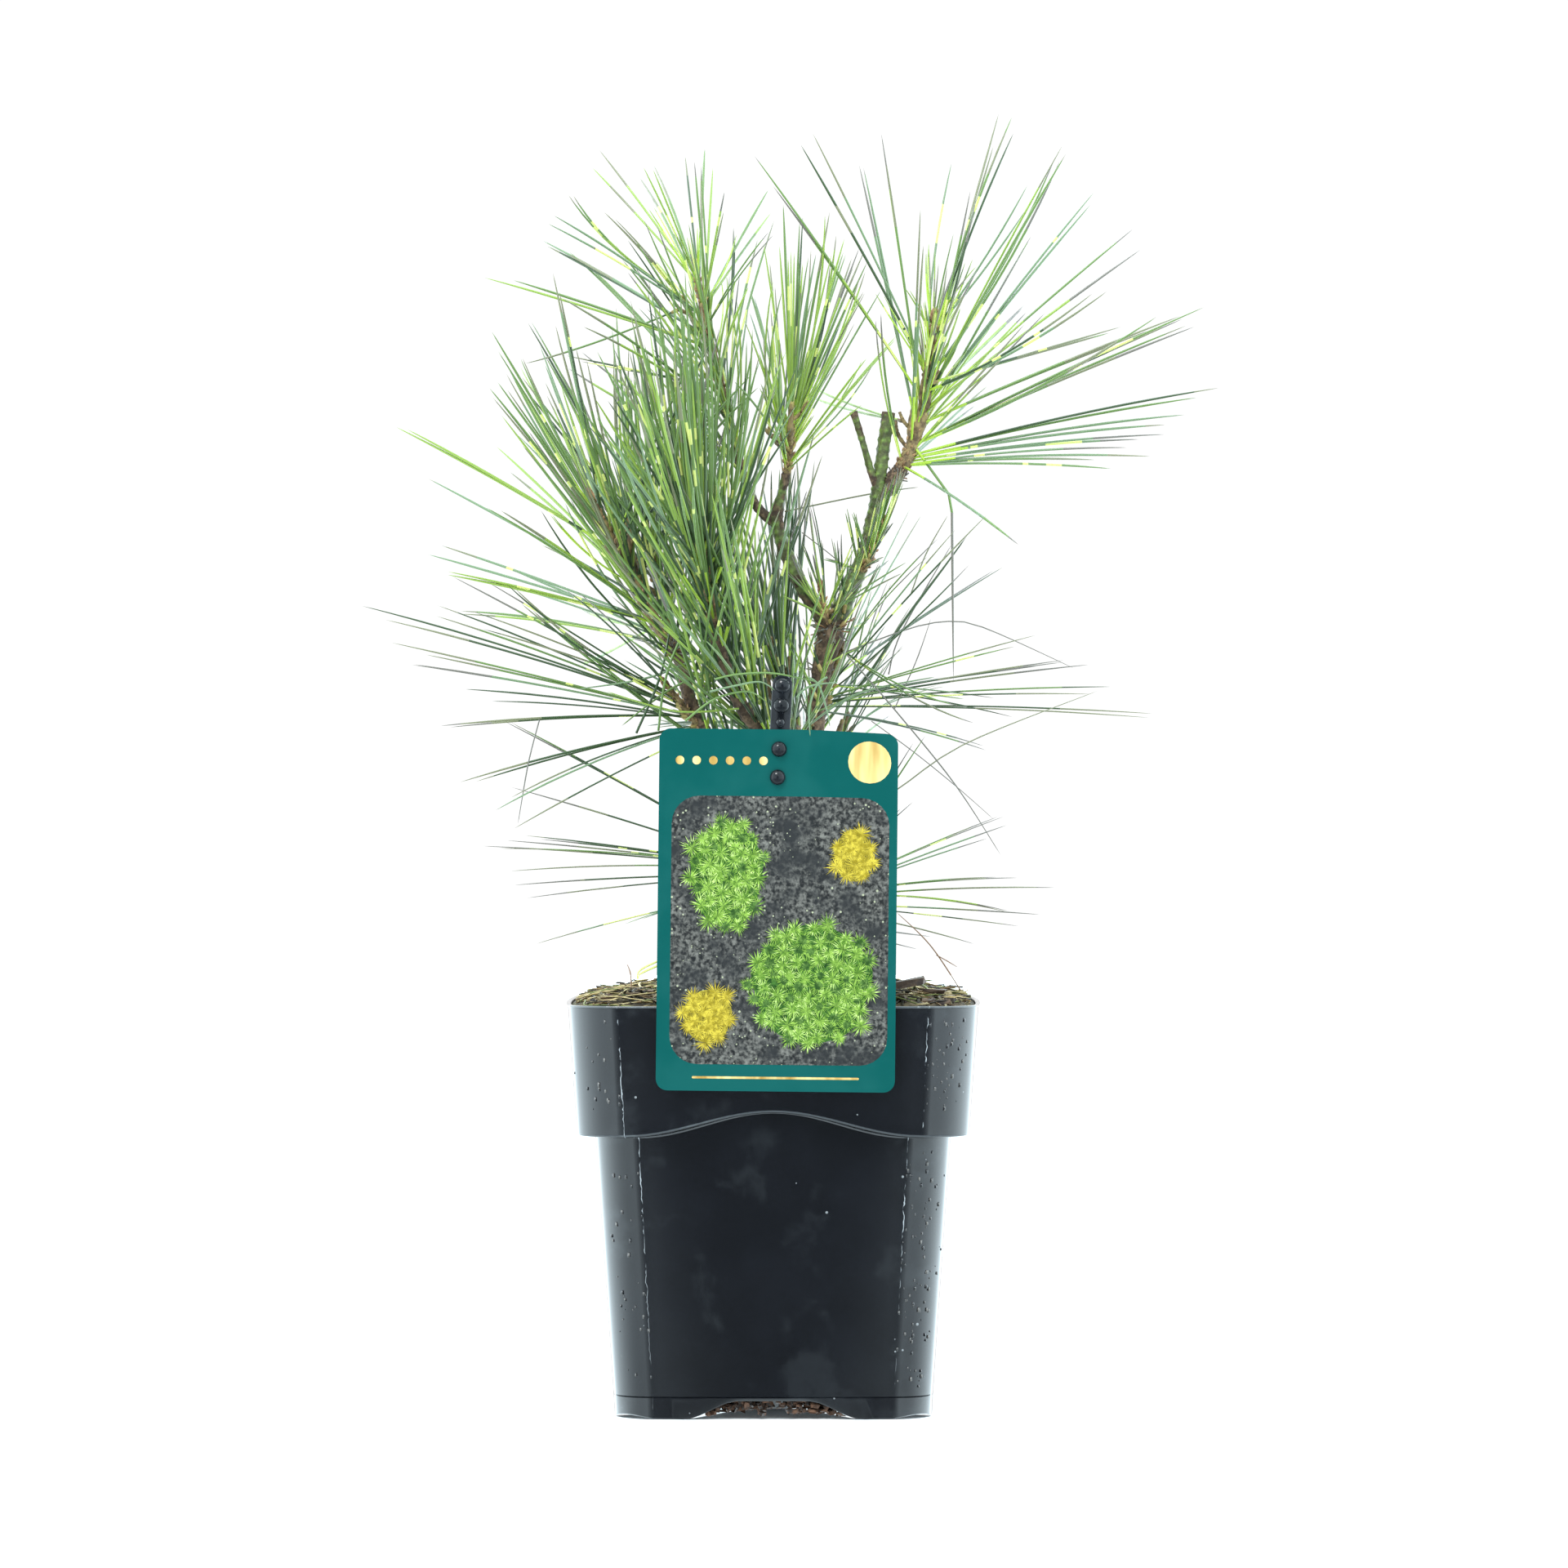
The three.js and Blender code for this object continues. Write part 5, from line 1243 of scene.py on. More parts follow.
def leaf_scars(along, turn, radius):
    """Relief of the cushions left by old needles, from -1 to 1."""
    round_count = max(round(2 * math.pi * radius / SCAR_WIDTH), 4)
    row = along / SCAR_PITCH
    index = math.floor(row)
    lane = turn / (2 * math.pi) * round_count + 0.5 * (index % 2) + 0.21 * index
    across = lane - math.floor(lane) - 0.5
    up = row - index - 0.45
    cushion = math.exp(-(across**2) / 0.06 - (up**2) / (0.09 if up < 0 else 0.025))
    return 1.5 * cushion - 0.45


def limb_relief(limb, place, along, turn, radius):
    """How far the bark stands out at a place, in millimetres, and how hollow it is there."""
    scaly = limb["brown"]
    scars = leaf_scars(along, turn, radius)
    plates = noise.noise(Vector((place.x / 3.2, place.y / 3.2, place.z / 6)))
    cracks = noise.noise(Vector((place.x / 1.3, place.y / 1.3, place.z / 2.6)))
    lumps = noise.noise(place / 9)
    relief = (1 - 0.6 * scaly) * 0.55 * scars + (0.4 + scaly) * (0.5 * plates + 0.3 * cracks) + 0.35 * lumps
    hollow = min(max(0.55 - 0.75 * scars * (1 - 0.6 * scaly) - 1.3 * plates * scaly, 0.0), 1.0)
    return relief * limb["relief"], hollow


def build_limb(name, limb, wood):
    line, widths = smooth_line(limb["path"], limb["radii"], wood.ring_step / MM)
    is_cut = limb.get("cut", False)
    rings, browns, hollows = [], [], []
    for k, (centre, radius, (_, normal, across)) in enumerate(zip(line, widths, even_frames(line))):
        left = len(line) - 1 - k
        fade = min(left / 3, 1.0) if is_cut else 1.0
        places = []
        dips = []
        for side in range(wood.sides):
            turn = 2 * math.pi * side / wood.sides
            out = normal * math.cos(turn) + across * math.sin(turn)
            relief, dip = limb_relief(limb, centre + out * radius, k * wood.ring_step / MM, turn, radius)
            places.append((centre + out * (radius + relief * (0.35 + 0.65 * fade))) * MM)
            dips.append(dip)
        rings.append(places)
        hollows.append(dips)
        # Both ends are scalier than the middle.
        ends = 0.5 * math.exp(-k / 5) + 0.35 * math.exp(-left / 3)
        browns.append([limb["brown"] + ends] * wood.sides)
    bm = bmesh.new()
    brown = bm.verts.layers.float.new("brown")
    hollow = bm.verts.layers.float.new("hollow")
    cap = loft(bm, rings, [(brown, browns), (hollow, hollows)])
    materials = [bpy.data.materials.get("bark") or bark(wood)]
    if is_cut:
        bmesh.ops.inset_region(bm, faces=[cap], thickness=0.28 * widths[-1] * MM, depth=-0.15 * MM)
        cap.material_index = 1
        materials.append(bpy.data.materials.get("cut_wood") or cut_wood())
    slot = "trunk_bark" if name == "trunk" else "green_bark"
    add_piece(name + "_bark", finish_bmesh(bm, name + "_bark"), materials, slot, name)


# The shoots.
NEEDLE = {
    "droop": 0.16, "least_droop": 0.2, "arch": 0.026, "wander": 19, "lean_at_foot": 1.4,
    "stem_span": (0.02, 0.99), "twig_span": (0.25, 0.98), "tries": 8, "try_turn": 31, "sway": 0.06,
    "lowest": 174, "pair": (1.5, 7), "young_length": (16, 48), "young_angle": (8, 40),
    "past_outline": 4,
}
TWIG = {"length": (16, 26), "spread": 38, "radii": [1.3, 1.3, 0.8], "span": (0.3, 0.8)}
FINE_TWIG = {"length": (7, 13), "spread": 50, "radii": [0.9, 0.8, 0.6], "span": (0.15, 0.9)}
# Shares of a stem where a needle to a measured tip may be rooted.
SEATS = [0.08 + 0.06 * k for k in range(15)]


def along_stem(twig, share):
    """The place, radius and direction at a share of a twig's length."""
    points, radii = twig
    scaled = min(max(share, 0.0), 1.0) * (len(points) - 1)
    i = min(int(scaled), len(points) - 2)
    along = (points[i + 1] - points[i]).normalized()
    place = points[i].lerp(points[i + 1], scaled - i)
    return place, radii[i] + (radii[i + 1] - radii[i]) * (scaled - i), along


def leaving(along, angle, turn):
    """A direction at an angle from a stem, turned round it, in degrees."""
    side = (ASKEW - along * ASKEW.dot(along)).normalized()
    side = Matrix.Rotation(math.radians(turn), 3, along) @ side
    return along * math.cos(math.radians(angle)) + side * math.sin(math.radians(angle))


def on_sightline(x, z, y):
    """The point at depth y that is seen from the eye at x, z against the plane y = 0."""
    scale = (y - EYE.y) / -EYE.y
    return Vector((EYE.x + (x - EYE.x) * scale, y, EYE.z + (z - EYE.z) * scale))


def seen_inside(outline, point):
    """Whether a point, seen from the eye, lies inside an outline."""
    scale = -EYE.y / (point.y - EYE.y)
    x = EYE.x + (point.x - EYE.x) * scale
    z = EYE.z + (point.z - EYE.z) * scale
    inside = False
    for (x1, z1), (x2, z2) in zip(outline, outline[1:] + outline[:1]):
        if (z1 > z) != (z2 > z) and x < x1 + (z - z1) / (z2 - z1) * (x2 - x1):
            inside = not inside
    return inside


def outline_of(shoot, by):
    """The corners of a shoot's outline, in order round it, each moved outwards in millimetres."""
    x, _, z = shoot["stem"][len(shoot["stem"]) // 2]
    corners = [Vector((u - x, v - z)) for u, v in shoot["reach"] + shoot["edge"]]
    corners.sort(key=lambda away: math.atan2(away.y, away.x))
    moved = [away.normalized() * (away.length + by) for away in corners]
    return [(x + away.x, z + away.y) for away in moved]


def near_card(p):
    beside = abs(p.x - CARD_CENTRE.x) < CARD_SIZE[0] / 2 + 2
    return beside and p.z < CARD_TOP + 2 and p.y < CARD_CENTRE.y + 10


def has_room(root, bend, tip):
    """Whether a needle keeps off the card and the soil."""
    for share in np.linspace(0.1, 1, 8):
        place = root.lerp(bend, share).lerp(bend.lerp(tip, share), share)
        if place.z < NEEDLE["lowest"] or near_card(place):
            return False
    return True


def grown_twigs(shoot, rng):
    """A shoot's stem, its side twigs, and finer twigs on them, as (points, radii)."""
    stem = ([Vector(p) for p in shoot["stem"]], shoot["radii"])
    twigs = [stem]
    for rule, count in ((TWIG, shoot["twigs"]), (FINE_TWIG, 2 * shoot["twigs"])):
        for i in range(count):
            parent = stem if rule is TWIG else twigs[i % len(twigs)]
            low, high = rule["span"]
            place, _, along = along_stem(parent, low + (high - low) * (i + 0.5 * rng.random()) / count)
            out = leaving(along, rule["spread"], i * GOLDEN_ANGLE + 60 * rng.random())
            length = rng.uniform(*rule["length"])
            middle = place + out * length / 2
            end = middle + out.lerp(along, 0.5).normalized() * length / 2
            twigs.append(([place, middle, end], rule["radii"]))
    return twigs


def spread_at(shoot, share):
    return shoot["spread"][0] + (shoot["spread"][1] - shoot["spread"][0]) * math.sqrt(share)


def needle_to(corner, shoot, twigs, rng, side):
    """The needle to a measured tip that fits the shoot's spread best."""
    length = rng.uniform(*shoot["length"])
    arch = 2 * NEEDLE["arch"] * (0.5 + rng.random())
    best = None
    for share in SEATS:
        place, _, along = along_stem(twigs[0], share)
        level = (on_sightline(*corner, place.y) - place).length
        depth = math.sqrt(max(length**2 - level**2, 0))
        for i, way in enumerate((side, -side, 0.6 * side, -0.6 * side)):
            tip = on_sightline(*corner, place.y + way * depth)
            angle = math.degrees((tip - place).angle(along))
            miss = abs(angle - spread_at(shoot, share)) + max(level - length, 0) + 6 * i
            bend = place.lerp(tip, 0.5) + Vector((0, 0, arch * (tip - place).length / 2))
            if has_room(place, bend, tip) and (best is None or miss < best[0]):
                best = (miss, place, bend, tip)
    return best and best[1:]


def needle_at(shoot, twig, share, turn, rng):
    """A needle of the spiral, by the shoot's spread, with seeded scatter."""
    place, _, along = along_stem(twig, share)
    angle = spread_at(shoot, share) + NEEDLE["wander"] * rng.gauss(0, 1)
    out = leaving(along, angle, turn + NEEDLE["wander"] * rng.gauss(0, 1))
    out = (out + Vector(shoot["lean"]) * (NEEDLE["lean_at_foot"] - share)).normalized()
    length = shoot["length"][1] * rng.uniform(shoot["shortest"], 1)
    return curved(place, out, length, rng)


def any_way(rng, spread=1):
    """A seeded direction, longer or shorter by chance."""
    return Vector([rng.gauss(0, spread) for _ in range(3)])


def curved(place, out, length, rng):
    """A needle with a slight sway, and an outer half that droops."""
    sway = any_way(rng) * NEEDLE["sway"] * length
    bend = place + out * length / 2 + sway
    outer = out.copy()
    outer.z -= NEEDLE["droop"] * (NEEDLE["least_droop"] + rng.random()) * (1 - abs(out.z))
    return place, bend, bend - sway * 0.5 + outer.normalized() * length / 2


def beside(needle, degrees, shorter, rng):
    """A needle next to another, turned a little about its root."""
    root, bend, tip = needle
    turn = Matrix.Rotation(math.radians(degrees), 3, any_way(rng).normalized())
    return root, root + turn @ (bend - root) * shorter, root + turn @ (tip - root) * shorter


def grow_needles(shoot, twigs, rng):
    """All needles of a shoot, as (root, bend, tip, fascicle, young)."""
    outline = outline_of(shoot, NEEDLE["past_outline"])
    foot = [Vector(p) for p in shoot["foot"]]
    rooted = (foot + twigs[0][0], [shoot["radii"][0]] * len(foot) + list(twigs[0][1]))
    grown = []

    def grow_pair(needle, young=False, firm=False):
        """A fascicle: a needle and its twin. A firm needle may leave the outline."""
        twin = beside(needle, rng.uniform(*NEEDLE["pair"]), rng.uniform(0.88, 1), rng)
        fascicle = len(grown)
        for one in (needle, twin):
            if firm and one is needle or has_room(*one) and seen_inside(outline, one[2]):
                grown.append((*one, fascicle, young))

    for i, corner in enumerate(shoot["reach"]):
        needle = needle_to(corner, shoot, twigs, rng, 1 if i % 2 else -1)
        if needle:
            grow_pair(needle, firm=True)
    for i in range(shoot["pairs"]):
        twig = rooted if i % 3 < 2 else twigs[i % len(twigs)]
        low, high = NEEDLE["stem_span"] if twig is rooted else NEEDLE["twig_span"]
        share = low + (high - low) * (i + 0.5) / shoot["pairs"] if twig is rooted else rng.uniform(low, high)
        for attempt in range(NEEDLE["tries"]):
            needle = needle_at(shoot, twig, share, i * GOLDEN_ANGLE + attempt * NEEDLE["try_turn"], rng)
            if attempt > 3:
                needle = beside(needle, 0, 0.8, rng)
            if seen_inside(outline, needle[2]) and has_room(*needle):
                grow_pair(needle)
                break
    for i in range(shoot["young"]):
        place, _, along = along_stem(twigs[0], 0.45 + 0.54 * i / shoot["young"])
        out = leaving(along, rng.uniform(*NEEDLE["young_angle"]), i * GOLDEN_ANGLE)
        grow_pair(curved(place, out, rng.uniform(*NEEDLE["young_length"]), rng), young=True, firm=True)
    for i in range(shoot["cover"]):
        place, _, along = along_stem(rooted, 0.08 + 0.7 * (i + 0.5) / shoot["cover"])
        out = along.normalized() + Vector((rng.uniform(-0.62, 0.3), -rng.uniform(0.12, 0.4), 0))
        grow_pair(curved(place, out.normalized(), rng.uniform(0.85, 1.1) * shoot["length"][0], rng))
    return grown


# The shares of a needle's length where it has rings, and its pale bands: where they may lie,
# their least length and how much longer they may be, and how many needles carry one or two.
RING_SHARES = np.array([0, 0.04, 0.12, 0.24, 0.36, 0.48, 0.6, 0.72, 0.83, 0.92, 0.97, 1.0])
BAND_SPAN = (0.12, 0.78)
BAND_LENGTH, BAND_EXTRA = 3, 19
BAND_CHANCES = (0.42, 0.2)


def by_chance(draw, limits, tones, rest):
    """Tones by a draw for each needle: the first whose limit lies above it, or else the rest."""
    return np.select([draw < limit for limit in limits], [TONE[tone] for tone in tones], rest)


def needle_arrays(grown, width, shoot):
    """Paths, radii and tones of needles that taper to fine tips."""
    grey = shoot["grey"]
    rng = np.random.default_rng(shoot["seed"])
    count = len(grown)
    root, bend, tip = (np.array([tuple(n[i]) for n in grown])[:, None, :] for i in range(3))
    spray, young = (np.array([n[i] for n in grown]) for i in (3, 4))
    lengths = np.linalg.norm(tip - root, axis=-1)
    bands = rng.uniform(*BAND_SPAN, (count, 2))
    size = (BAND_LENGTH + BAND_EXTRA * rng.random((count, 2)) ** 3) / np.maximum(lengths, 30)
    marked = rng.random((count, 2)) < BAND_CHANCES
    rings = np.tile(RING_SHARES, (count, 1))
    shares = np.concatenate([rings, bands - size / 2, bands + size / 2], axis=1)
    shares = np.sort(np.clip(shares, 0, 1), axis=1)
    s = shares[:, :, None]
    paths = root * (1 - s) ** 2 + 2 * bend * s * (1 - s) + tip * s**2
    girth = width / 2 * rng.uniform(0.82, 1.12, (count, 1)) * np.clip(lengths / 90, 0.6, 1) * shoot["girth"]
    taper = 1 - 0.8 * np.clip((shares - 0.72) / 0.28, 0, 1) ** 1.9
    foot = 0.7 + 0.3 * np.clip(shares / 0.06, 0, 1)
    middles = (shares[:, 1:] + shares[:, :-1]) / 2
    # A fascicle's needles are alike, but not the same.
    draw = np.random.default_rng(shoot["seed"] + 1).random((int(spray.max()) + 1, 3))[spray]
    mix = 0.75 * draw + 0.25 * rng.random((count, 3))
    first, second, third = mix.T
    body = by_chance(first, shoot["tones"], ("fresh", "mid", "deep"), TONE["blue"])
    body = np.where(young, by_chance(first, [0.5], ["lime"], TONE["fresh"]), body)
    outer = by_chance(second, [0.6 * grey], ["olive"], np.where(second > 0.8, TONE["mid"], body))
    end = by_chance(third, (0.75 * grey, 0.3 + 0.7 * grey), ("grey", "olive"), body)
    end = np.where(young, TONE["fresh"], end)
    lime_end = rng.uniform(0.1, 0.2, count) * (rng.random(count) < shoot["lime"])
    outer_start = rng.uniform(0.45, 0.75, count)
    end_start = rng.uniform(0.68, 0.97, count)
    # Painted shade: the foot of a needle, up to this share, takes the dark green.
    dark_end = shoot["shade"] * rng.random(count)
    kinds = np.repeat(body[:, None], middles.shape[1], axis=1)
    kinds = np.where(middles < dark_end[:, None], TONE["deep"], kinds)
    kinds = np.where(middles < lime_end[:, None], TONE["lime"], kinds)
    kinds = np.where(middles > outer_start[:, None], outer[:, None], kinds)
    kinds = np.where(middles > end_start[:, None], end[:, None], kinds)
    for k in range(2):
        inside = np.abs(middles - bands[:, k : k + 1]) < size[:, k : k + 1] / 2
        kinds = np.where(inside & marked[:, k : k + 1], TONE["band"], kinds)
    return paths, girth * taper * foot, kinds


# Single needles that lie apart, at their depth: tone, girth and corners as seen from the front.
STRAYS = [
    (-6, "grey", 0.5,
     [(27.5, 306.4), (40.4, 311.3), (54.3, 316.3), (67.3, 319.3), (84, 317.8), (123, 300.4)]),
    (6, "olive", 0.6, [(4.6, 364.5), (38.5, 371.5), (59.5, 374.5)]),
    (-4, "grey", 0.4, [(11.6, 356), (22, 348), (32.6, 339.2)]),
    (2, "grey", 0.6, [(6.2, 351), (10, 362), (13.7, 373)]),
    (2, "deep", 0.6, [(7.7, 349), (12, 361), (15.7, 373.5)]),
    (4, "grey", 0.5, [(47, 298), (52.3, 315.4), (72.7, 351)]),
    (4, "olive", 0.5, [(56.3, 331.3), (62.3, 347.2), (71.2, 363)]),
    (-2, "deep", 1.0, [(34, 292), (41.3, 301.5), (54.3, 321.3), (69.2, 341.2), (78.7, 354.1)]),
    (-8, "grey", 0.4, [(49.3, 283.7), (58.3, 303.5), (64.3, 320.8)]),
    (-40, "grey", 0.5, [(-95.2, 280.6), (-100, 262), (-104.3, 237)]),
    (-30, "grey", 0.6, [(30, 306), (48.7, 284.6), (73.8, 253.6), (93, 224)]),
    (-20, "olive", 0.5, [(20, 232), (49, 250), (78.3, 269.7), (132.6, 291.4)]),
    (-20, "grey", 0.4, [(40, 279), (57.5, 266.2), (75, 252), (90, 238.8)]),
    (-88, "blue", 0.75, [(9.5, 288.5), (12, 291.5), (17, 293.8), (26.5, 294.8)]),
    (-90, "blue", 0.75, [(22, 297), (17.6, 293.5), (14.6, 283.6), (15, 272.7)]),
    (-84, "blue", 0.75, [(14, 297), (18.6, 293.5), (22, 282.6), (23, 276.7)]),
    (-86, "mid", 0.75, [(-24, 296), (-15.2, 298), (-0.3, 298.5), (17.6, 295)]),
    (-86, "blue", 0.75, [(-26, 291), (-15.2, 293.5), (-5.3, 295), (0.7, 291.5)]),
    (-84, "mid", 0.75, [(-36, 279), (-24, 288), (-10, 291), (-2, 286)]),
    (-24, "mid", 0.8, [(-18, 303), (-42, 292), (-62, 277)]),
    (-22, "blue", 0.8, [(-24, 308), (-50, 297), (-80, 292)]),
    (-28, "fresh", 0.8, [(-14, 284), (-40, 283), (-68, 291)]),
    (-26, "deep", 0.9, [(-56, 274), (-46, 298), (-41, 324)]),
    (-30, "mid", 0.9, [(-47, 275), (-43, 300), (-30, 330)]),
    (-26, "blue", 0.8, [(-20, 275), (-36, 296), (-58, 312)]),
    (-18, "blue", 0.8, [(14, 277), (34, 290), (66, 297)]),
    (-16, "mid", 0.7, [(18, 283), (44, 291), (78, 288)]),
    (-70, "dry", 0.5, [(-58, 170), (-58.4, 176), (-59.7, 179.7)]),
    (-84, "band", 0.7, [(-46, 181.5), (-54.4, 177.3), (-55.7, 173)]),
    (-84, "band", 0.7, [(-46, 179.6), (-54.2, 175.8), (-55.2, 173)]),
    (-30, "dry", 0.5, [(76.5, 169), (64, 187.5), (50.2, 201)]),
    (-30, "dry", 0.4, [(66.5, 183.5), (71, 181), (75, 178.6)]),
]
# Stubble round old wood: place, reach of its roots, count and longest blade.
STUBBLE = [
    ((23.4, -1, 317), 5, 120, 8), ((19, 0, 300), 4, 30, 5), ((50, 0.5, 378), 4, 40, 5),
    ((-40, -10, 308), 4, 40, 6),
]
STRAY_RINGS = 16
STUBBLE_RADIUS = 0.3


def even_picks(line, count):
    """The numbers of so many places spread evenly along a line."""
    return np.linspace(0, len(line) - 1, count).round().astype(int)


def build_strays(foliage):
    """Stray needles, and the dry stubble on the old wood."""
    girth = foliage.width / MM / 2
    last = STRAY_RINGS - 1
    rng = random.Random(151)
    paths, radii, kinds = [], [], []
    for depth, tone, thick, corners in STRAYS:
        line, _ = smooth_line([on_sightline(x, z, depth) for x, z in corners], [1] * len(corners), 0.5)
        paths.append([tuple(line[i]) for i in even_picks(line, STRAY_RINGS)])
        shares = [k / last for k in range(STRAY_RINGS)]
        radii.append([girth * thick * (1 - 0.6 * max(share - 0.6, 0) / 0.4) for share in shares])
        kinds.append(TONE[tone])
    for centre, reach, count, longest in STUBBLE:
        for _ in range(count):
            out = any_way(rng).normalized()
            start = Vector(centre) + out * reach * rng.uniform(0.3, 0.8)
            way = (out + Vector((0, 0, 0.4))).normalized() * rng.uniform(0.3, 1) * longest
            sag = any_way(rng, 0.12) * longest
            paths.append([tuple(start + way * s + sag * s * s) for s in np.linspace(0, 1, STRAY_RINGS)])
            radii.append([STUBBLE_RADIUS] * STRAY_RINGS)
            kinds.append(TONE[rng.choice(("grey", "grey", "olive", "dry"))])
    stretches = np.repeat(np.array(kinds)[:, None], last, axis=1)
    materials = needle_materials(foliage)
    add_tubes("stray_needles", np.array(paths), np.array(radii), materials, "needles", stretches, 4)


def folded_arrays(fold, stem, width):
    """A needle that is bent sharply once, and hangs from there."""
    root, _, _ = along_stem(stem, fold["root"])
    bend, tip = (on_sightline(*fold[key], root.y - fold["forward"]) for key in ("fold", "end"))
    shares = np.linspace(0, 1, 14)
    points = []
    for share in shares:
        place = root.lerp(bend, share / 0.5) if share < 0.5 else bend.lerp(tip, (share - 0.5) / 0.5)
        points.append(tuple(place))
    radii = width / 2 * (1 - 0.8 * np.clip((shares - 0.6) / 0.4, 0, 1) ** 2)
    starts = shares[:-1]
    kinds = np.select([starts < 0.12, starts < 0.5], [TONE["lime"], TONE["mid"]], TONE["grey"])
    return np.array([points]), radii[None], kinds[None]


def needles_mesh(name, parts):
    """Joins paths, radii and tones of needles into one mesh."""
    points, triangles, kinds = [], [], []
    start = 0
    for paths, radii, stretch_kinds in parts:
        places, corners = tubes(paths, radii, NEEDLE_SIDES)
        points.append(places)
        triangles.append(corners + start)
        kinds.append(tube_kinds(stretch_kinds, NEEDLE_SIDES))
        start += len(places)
    return mesh_from_arrays(name, *(np.concatenate(stack) for stack in (points, triangles, kinds)))


# A needle's sheath and a stem's scales: how far out their rings lie, and their radii.
SHEATH_STEPS, SHEATH_RADII = (0.4, 1.4, 3.6, 5.2), [0.75, 0.95, 0.85, 0.5]
SCALE_STEPS, SCALE_RADII = (0, 0.35, 0.7, 1), [0.5, 1.0, 0.75, 0.1]
SCALE_GAP = 0.9
BUD_SCALES = 14
TWIG_RINGS, TWIG_SIDES = 24, 9


def build_shoots(foliage):
    """Every shoot: its needles as one piece, and twigs, sheaths and scales joined each apart."""
    width = foliage.width / MM
    materials = needle_materials(foliage)
    all_twigs, sheaths, scales = [], [], []
    for shoot in SHOOTS:
        name = shoot["name"]
        rng = random.Random(shoot["seed"])
        twigs = grown_twigs(shoot, rng)
        grown = grow_needles(shoot, twigs, rng)
        parts = [needle_arrays(grown, width, shoot)]
        if shoot["folded"]:
            parts.append(folded_arrays(shoot["folded"], twigs[0], width))
        add_piece(name + "_fine", needles_mesh(name, parts), materials, "needles", name)
        all_twigs += twigs
        for root, bend, *_ in grown:
            out = (bend - root).normalized()
            sheaths.append([tuple(root + out * step) for step in SHEATH_STEPS])
        if not shoot["bare"]:
            scales += stem_scales(twigs[0], rng)
    build_twigs(all_twigs)
    sheath = litter_stuff("sheath", (0.16, 0.1, 0.04), (0.34, 0.28, 0.1))
    radii = np.tile(SHEATH_RADII, (len(sheaths), 1))
    add_tubes("needle_sheaths", np.array(sheaths), radii, [sheath], "needles")
    scale = litter_stuff("bud_scale", (0.1, 0.055, 0.026), (0.33, 0.2, 0.1))
    radii = np.array([SCALE_RADII]) * np.array([size for _, size in scales])[:, None]
    add_tubes("bud_scales", np.array([places for places, _ in scales]), radii, [scale], "trunk_bark")


def scale_path(start, way, length):
    return [tuple(start + way * length * step) for step in SCALE_STEPS]


def stem_scales(twig, rng):
    """Papery scales up a twig, and a bud of them at its end."""
    points, _ = twig
    length = sum((b - a).length for a, b in zip(points, points[1:]))
    made = []
    count = int(length / SCALE_GAP)
    for i in range(count):
        place, radius, along = along_stem(twig, (i + rng.random()) / count)
        out = leaving(along, 90, i * GOLDEN_ANGLE)
        way = (along + out * rng.uniform(0.25, 0.8)).normalized()
        path = scale_path(place + out * radius * 0.8, way, rng.uniform(1.6, 3.2))
        made.append((path, rng.uniform(0.45, 0.75)))
    place, radius, along = along_stem(twig, 1.0)
    for i in range(BUD_SCALES):
        out = leaving(along, 90, i * GOLDEN_ANGLE)
        start = place + out * radius * 0.5 + along * (0.25 * i)
        way = (along * 1.6 + out * (0.5 - 0.03 * i)).normalized()
        made.append((scale_path(start, way, 4.0), 0.9))
    return made


def build_twigs(twigs):
    """The stems of all shoots and their side twigs, joined."""
    paths, radii = [], []
    for points, widths in twigs:
        line, swelling = smooth_line(points, widths, 0.5)
        picks = even_picks(line, TWIG_RINGS)
        paths.append([tuple(line[i]) for i in picks])
        radii.append([swelling[i] for i in picks])
    rough = np.random.default_rng(3).uniform(0.86, 1.16, (len(paths), TWIG_RINGS))
    twig = litter_stuff("twig_bark", (0.07, 0.042, 0.02), (0.22, 0.16, 0.07), scale=300.0)
    add_tubes("twigs", np.array(paths), np.array(radii) * rough, [twig], "trunk_bark", sides=TWIG_SIDES)


# The card and its stake. The card leans back and is turned a little.
CARD_LEAN, CARD_ROLL = -1.5, 0.6
CARD_PLACE = (
    Matrix.Translation(CARD_CENTRE * MM)
    @ Matrix.Rotation(math.radians(CARD_LEAN), 4, "X")
    @ Matrix.Rotation(math.radians(CARD_ROLL), 4, "Y")
    @ Matrix.Rotation(math.radians(90), 4, "X")
)
# Where the upper right corner starts to curl, across and up, over which lengths, and how far at most.
CURL_FROM, CURL_OVER, CURL_MOST = (12, 30), (35, 41), 1.2
GRID_STEP = 5.0
# Printed shapes: centre, width, height, corner radius and steps, then depth and material.
PRINT = [
    (1, -8, 86, 106, 11, 6, 0.06, 0),
    (36, 59.5, 17, 17, 8.4, 6, 0.08, 1),
    *[(-39 + 6.6 * k, 59, 3.4, 3.4, 1.69, 4, 0.08, 1) for k in range(6)],
    (0, -66.2, 66, 0.9, 0.44, 2, 0.07, 1),
]
# The bed's low bushes: centre, half width, half height, sprigs, and whether they are yellow.
BUSHES = [((14, -29), 25, 25, 74, False), ((-20, 14), 15, 22, 46, False), ((-27, -42), 10, 11, 18, True),
          ((30, 22), 8, 11, 14, True)]
SPRIG_BLADES = 26
STAKE = {
    "tip": (-5, -58, 112), "bend": (1.5, -83.7, 250), "top": (3.9, -82.5, 296.6), "width": 8,
    "thickness": 2, "chamfer": 0.45, "peg_radius": 1.9, "head_height": 2.6,
    "pegs": [(292.2, 3.1), (284.3, 3.1), (277.6, 1.9), (267, 3.1), (255.9, 3.1)],
}


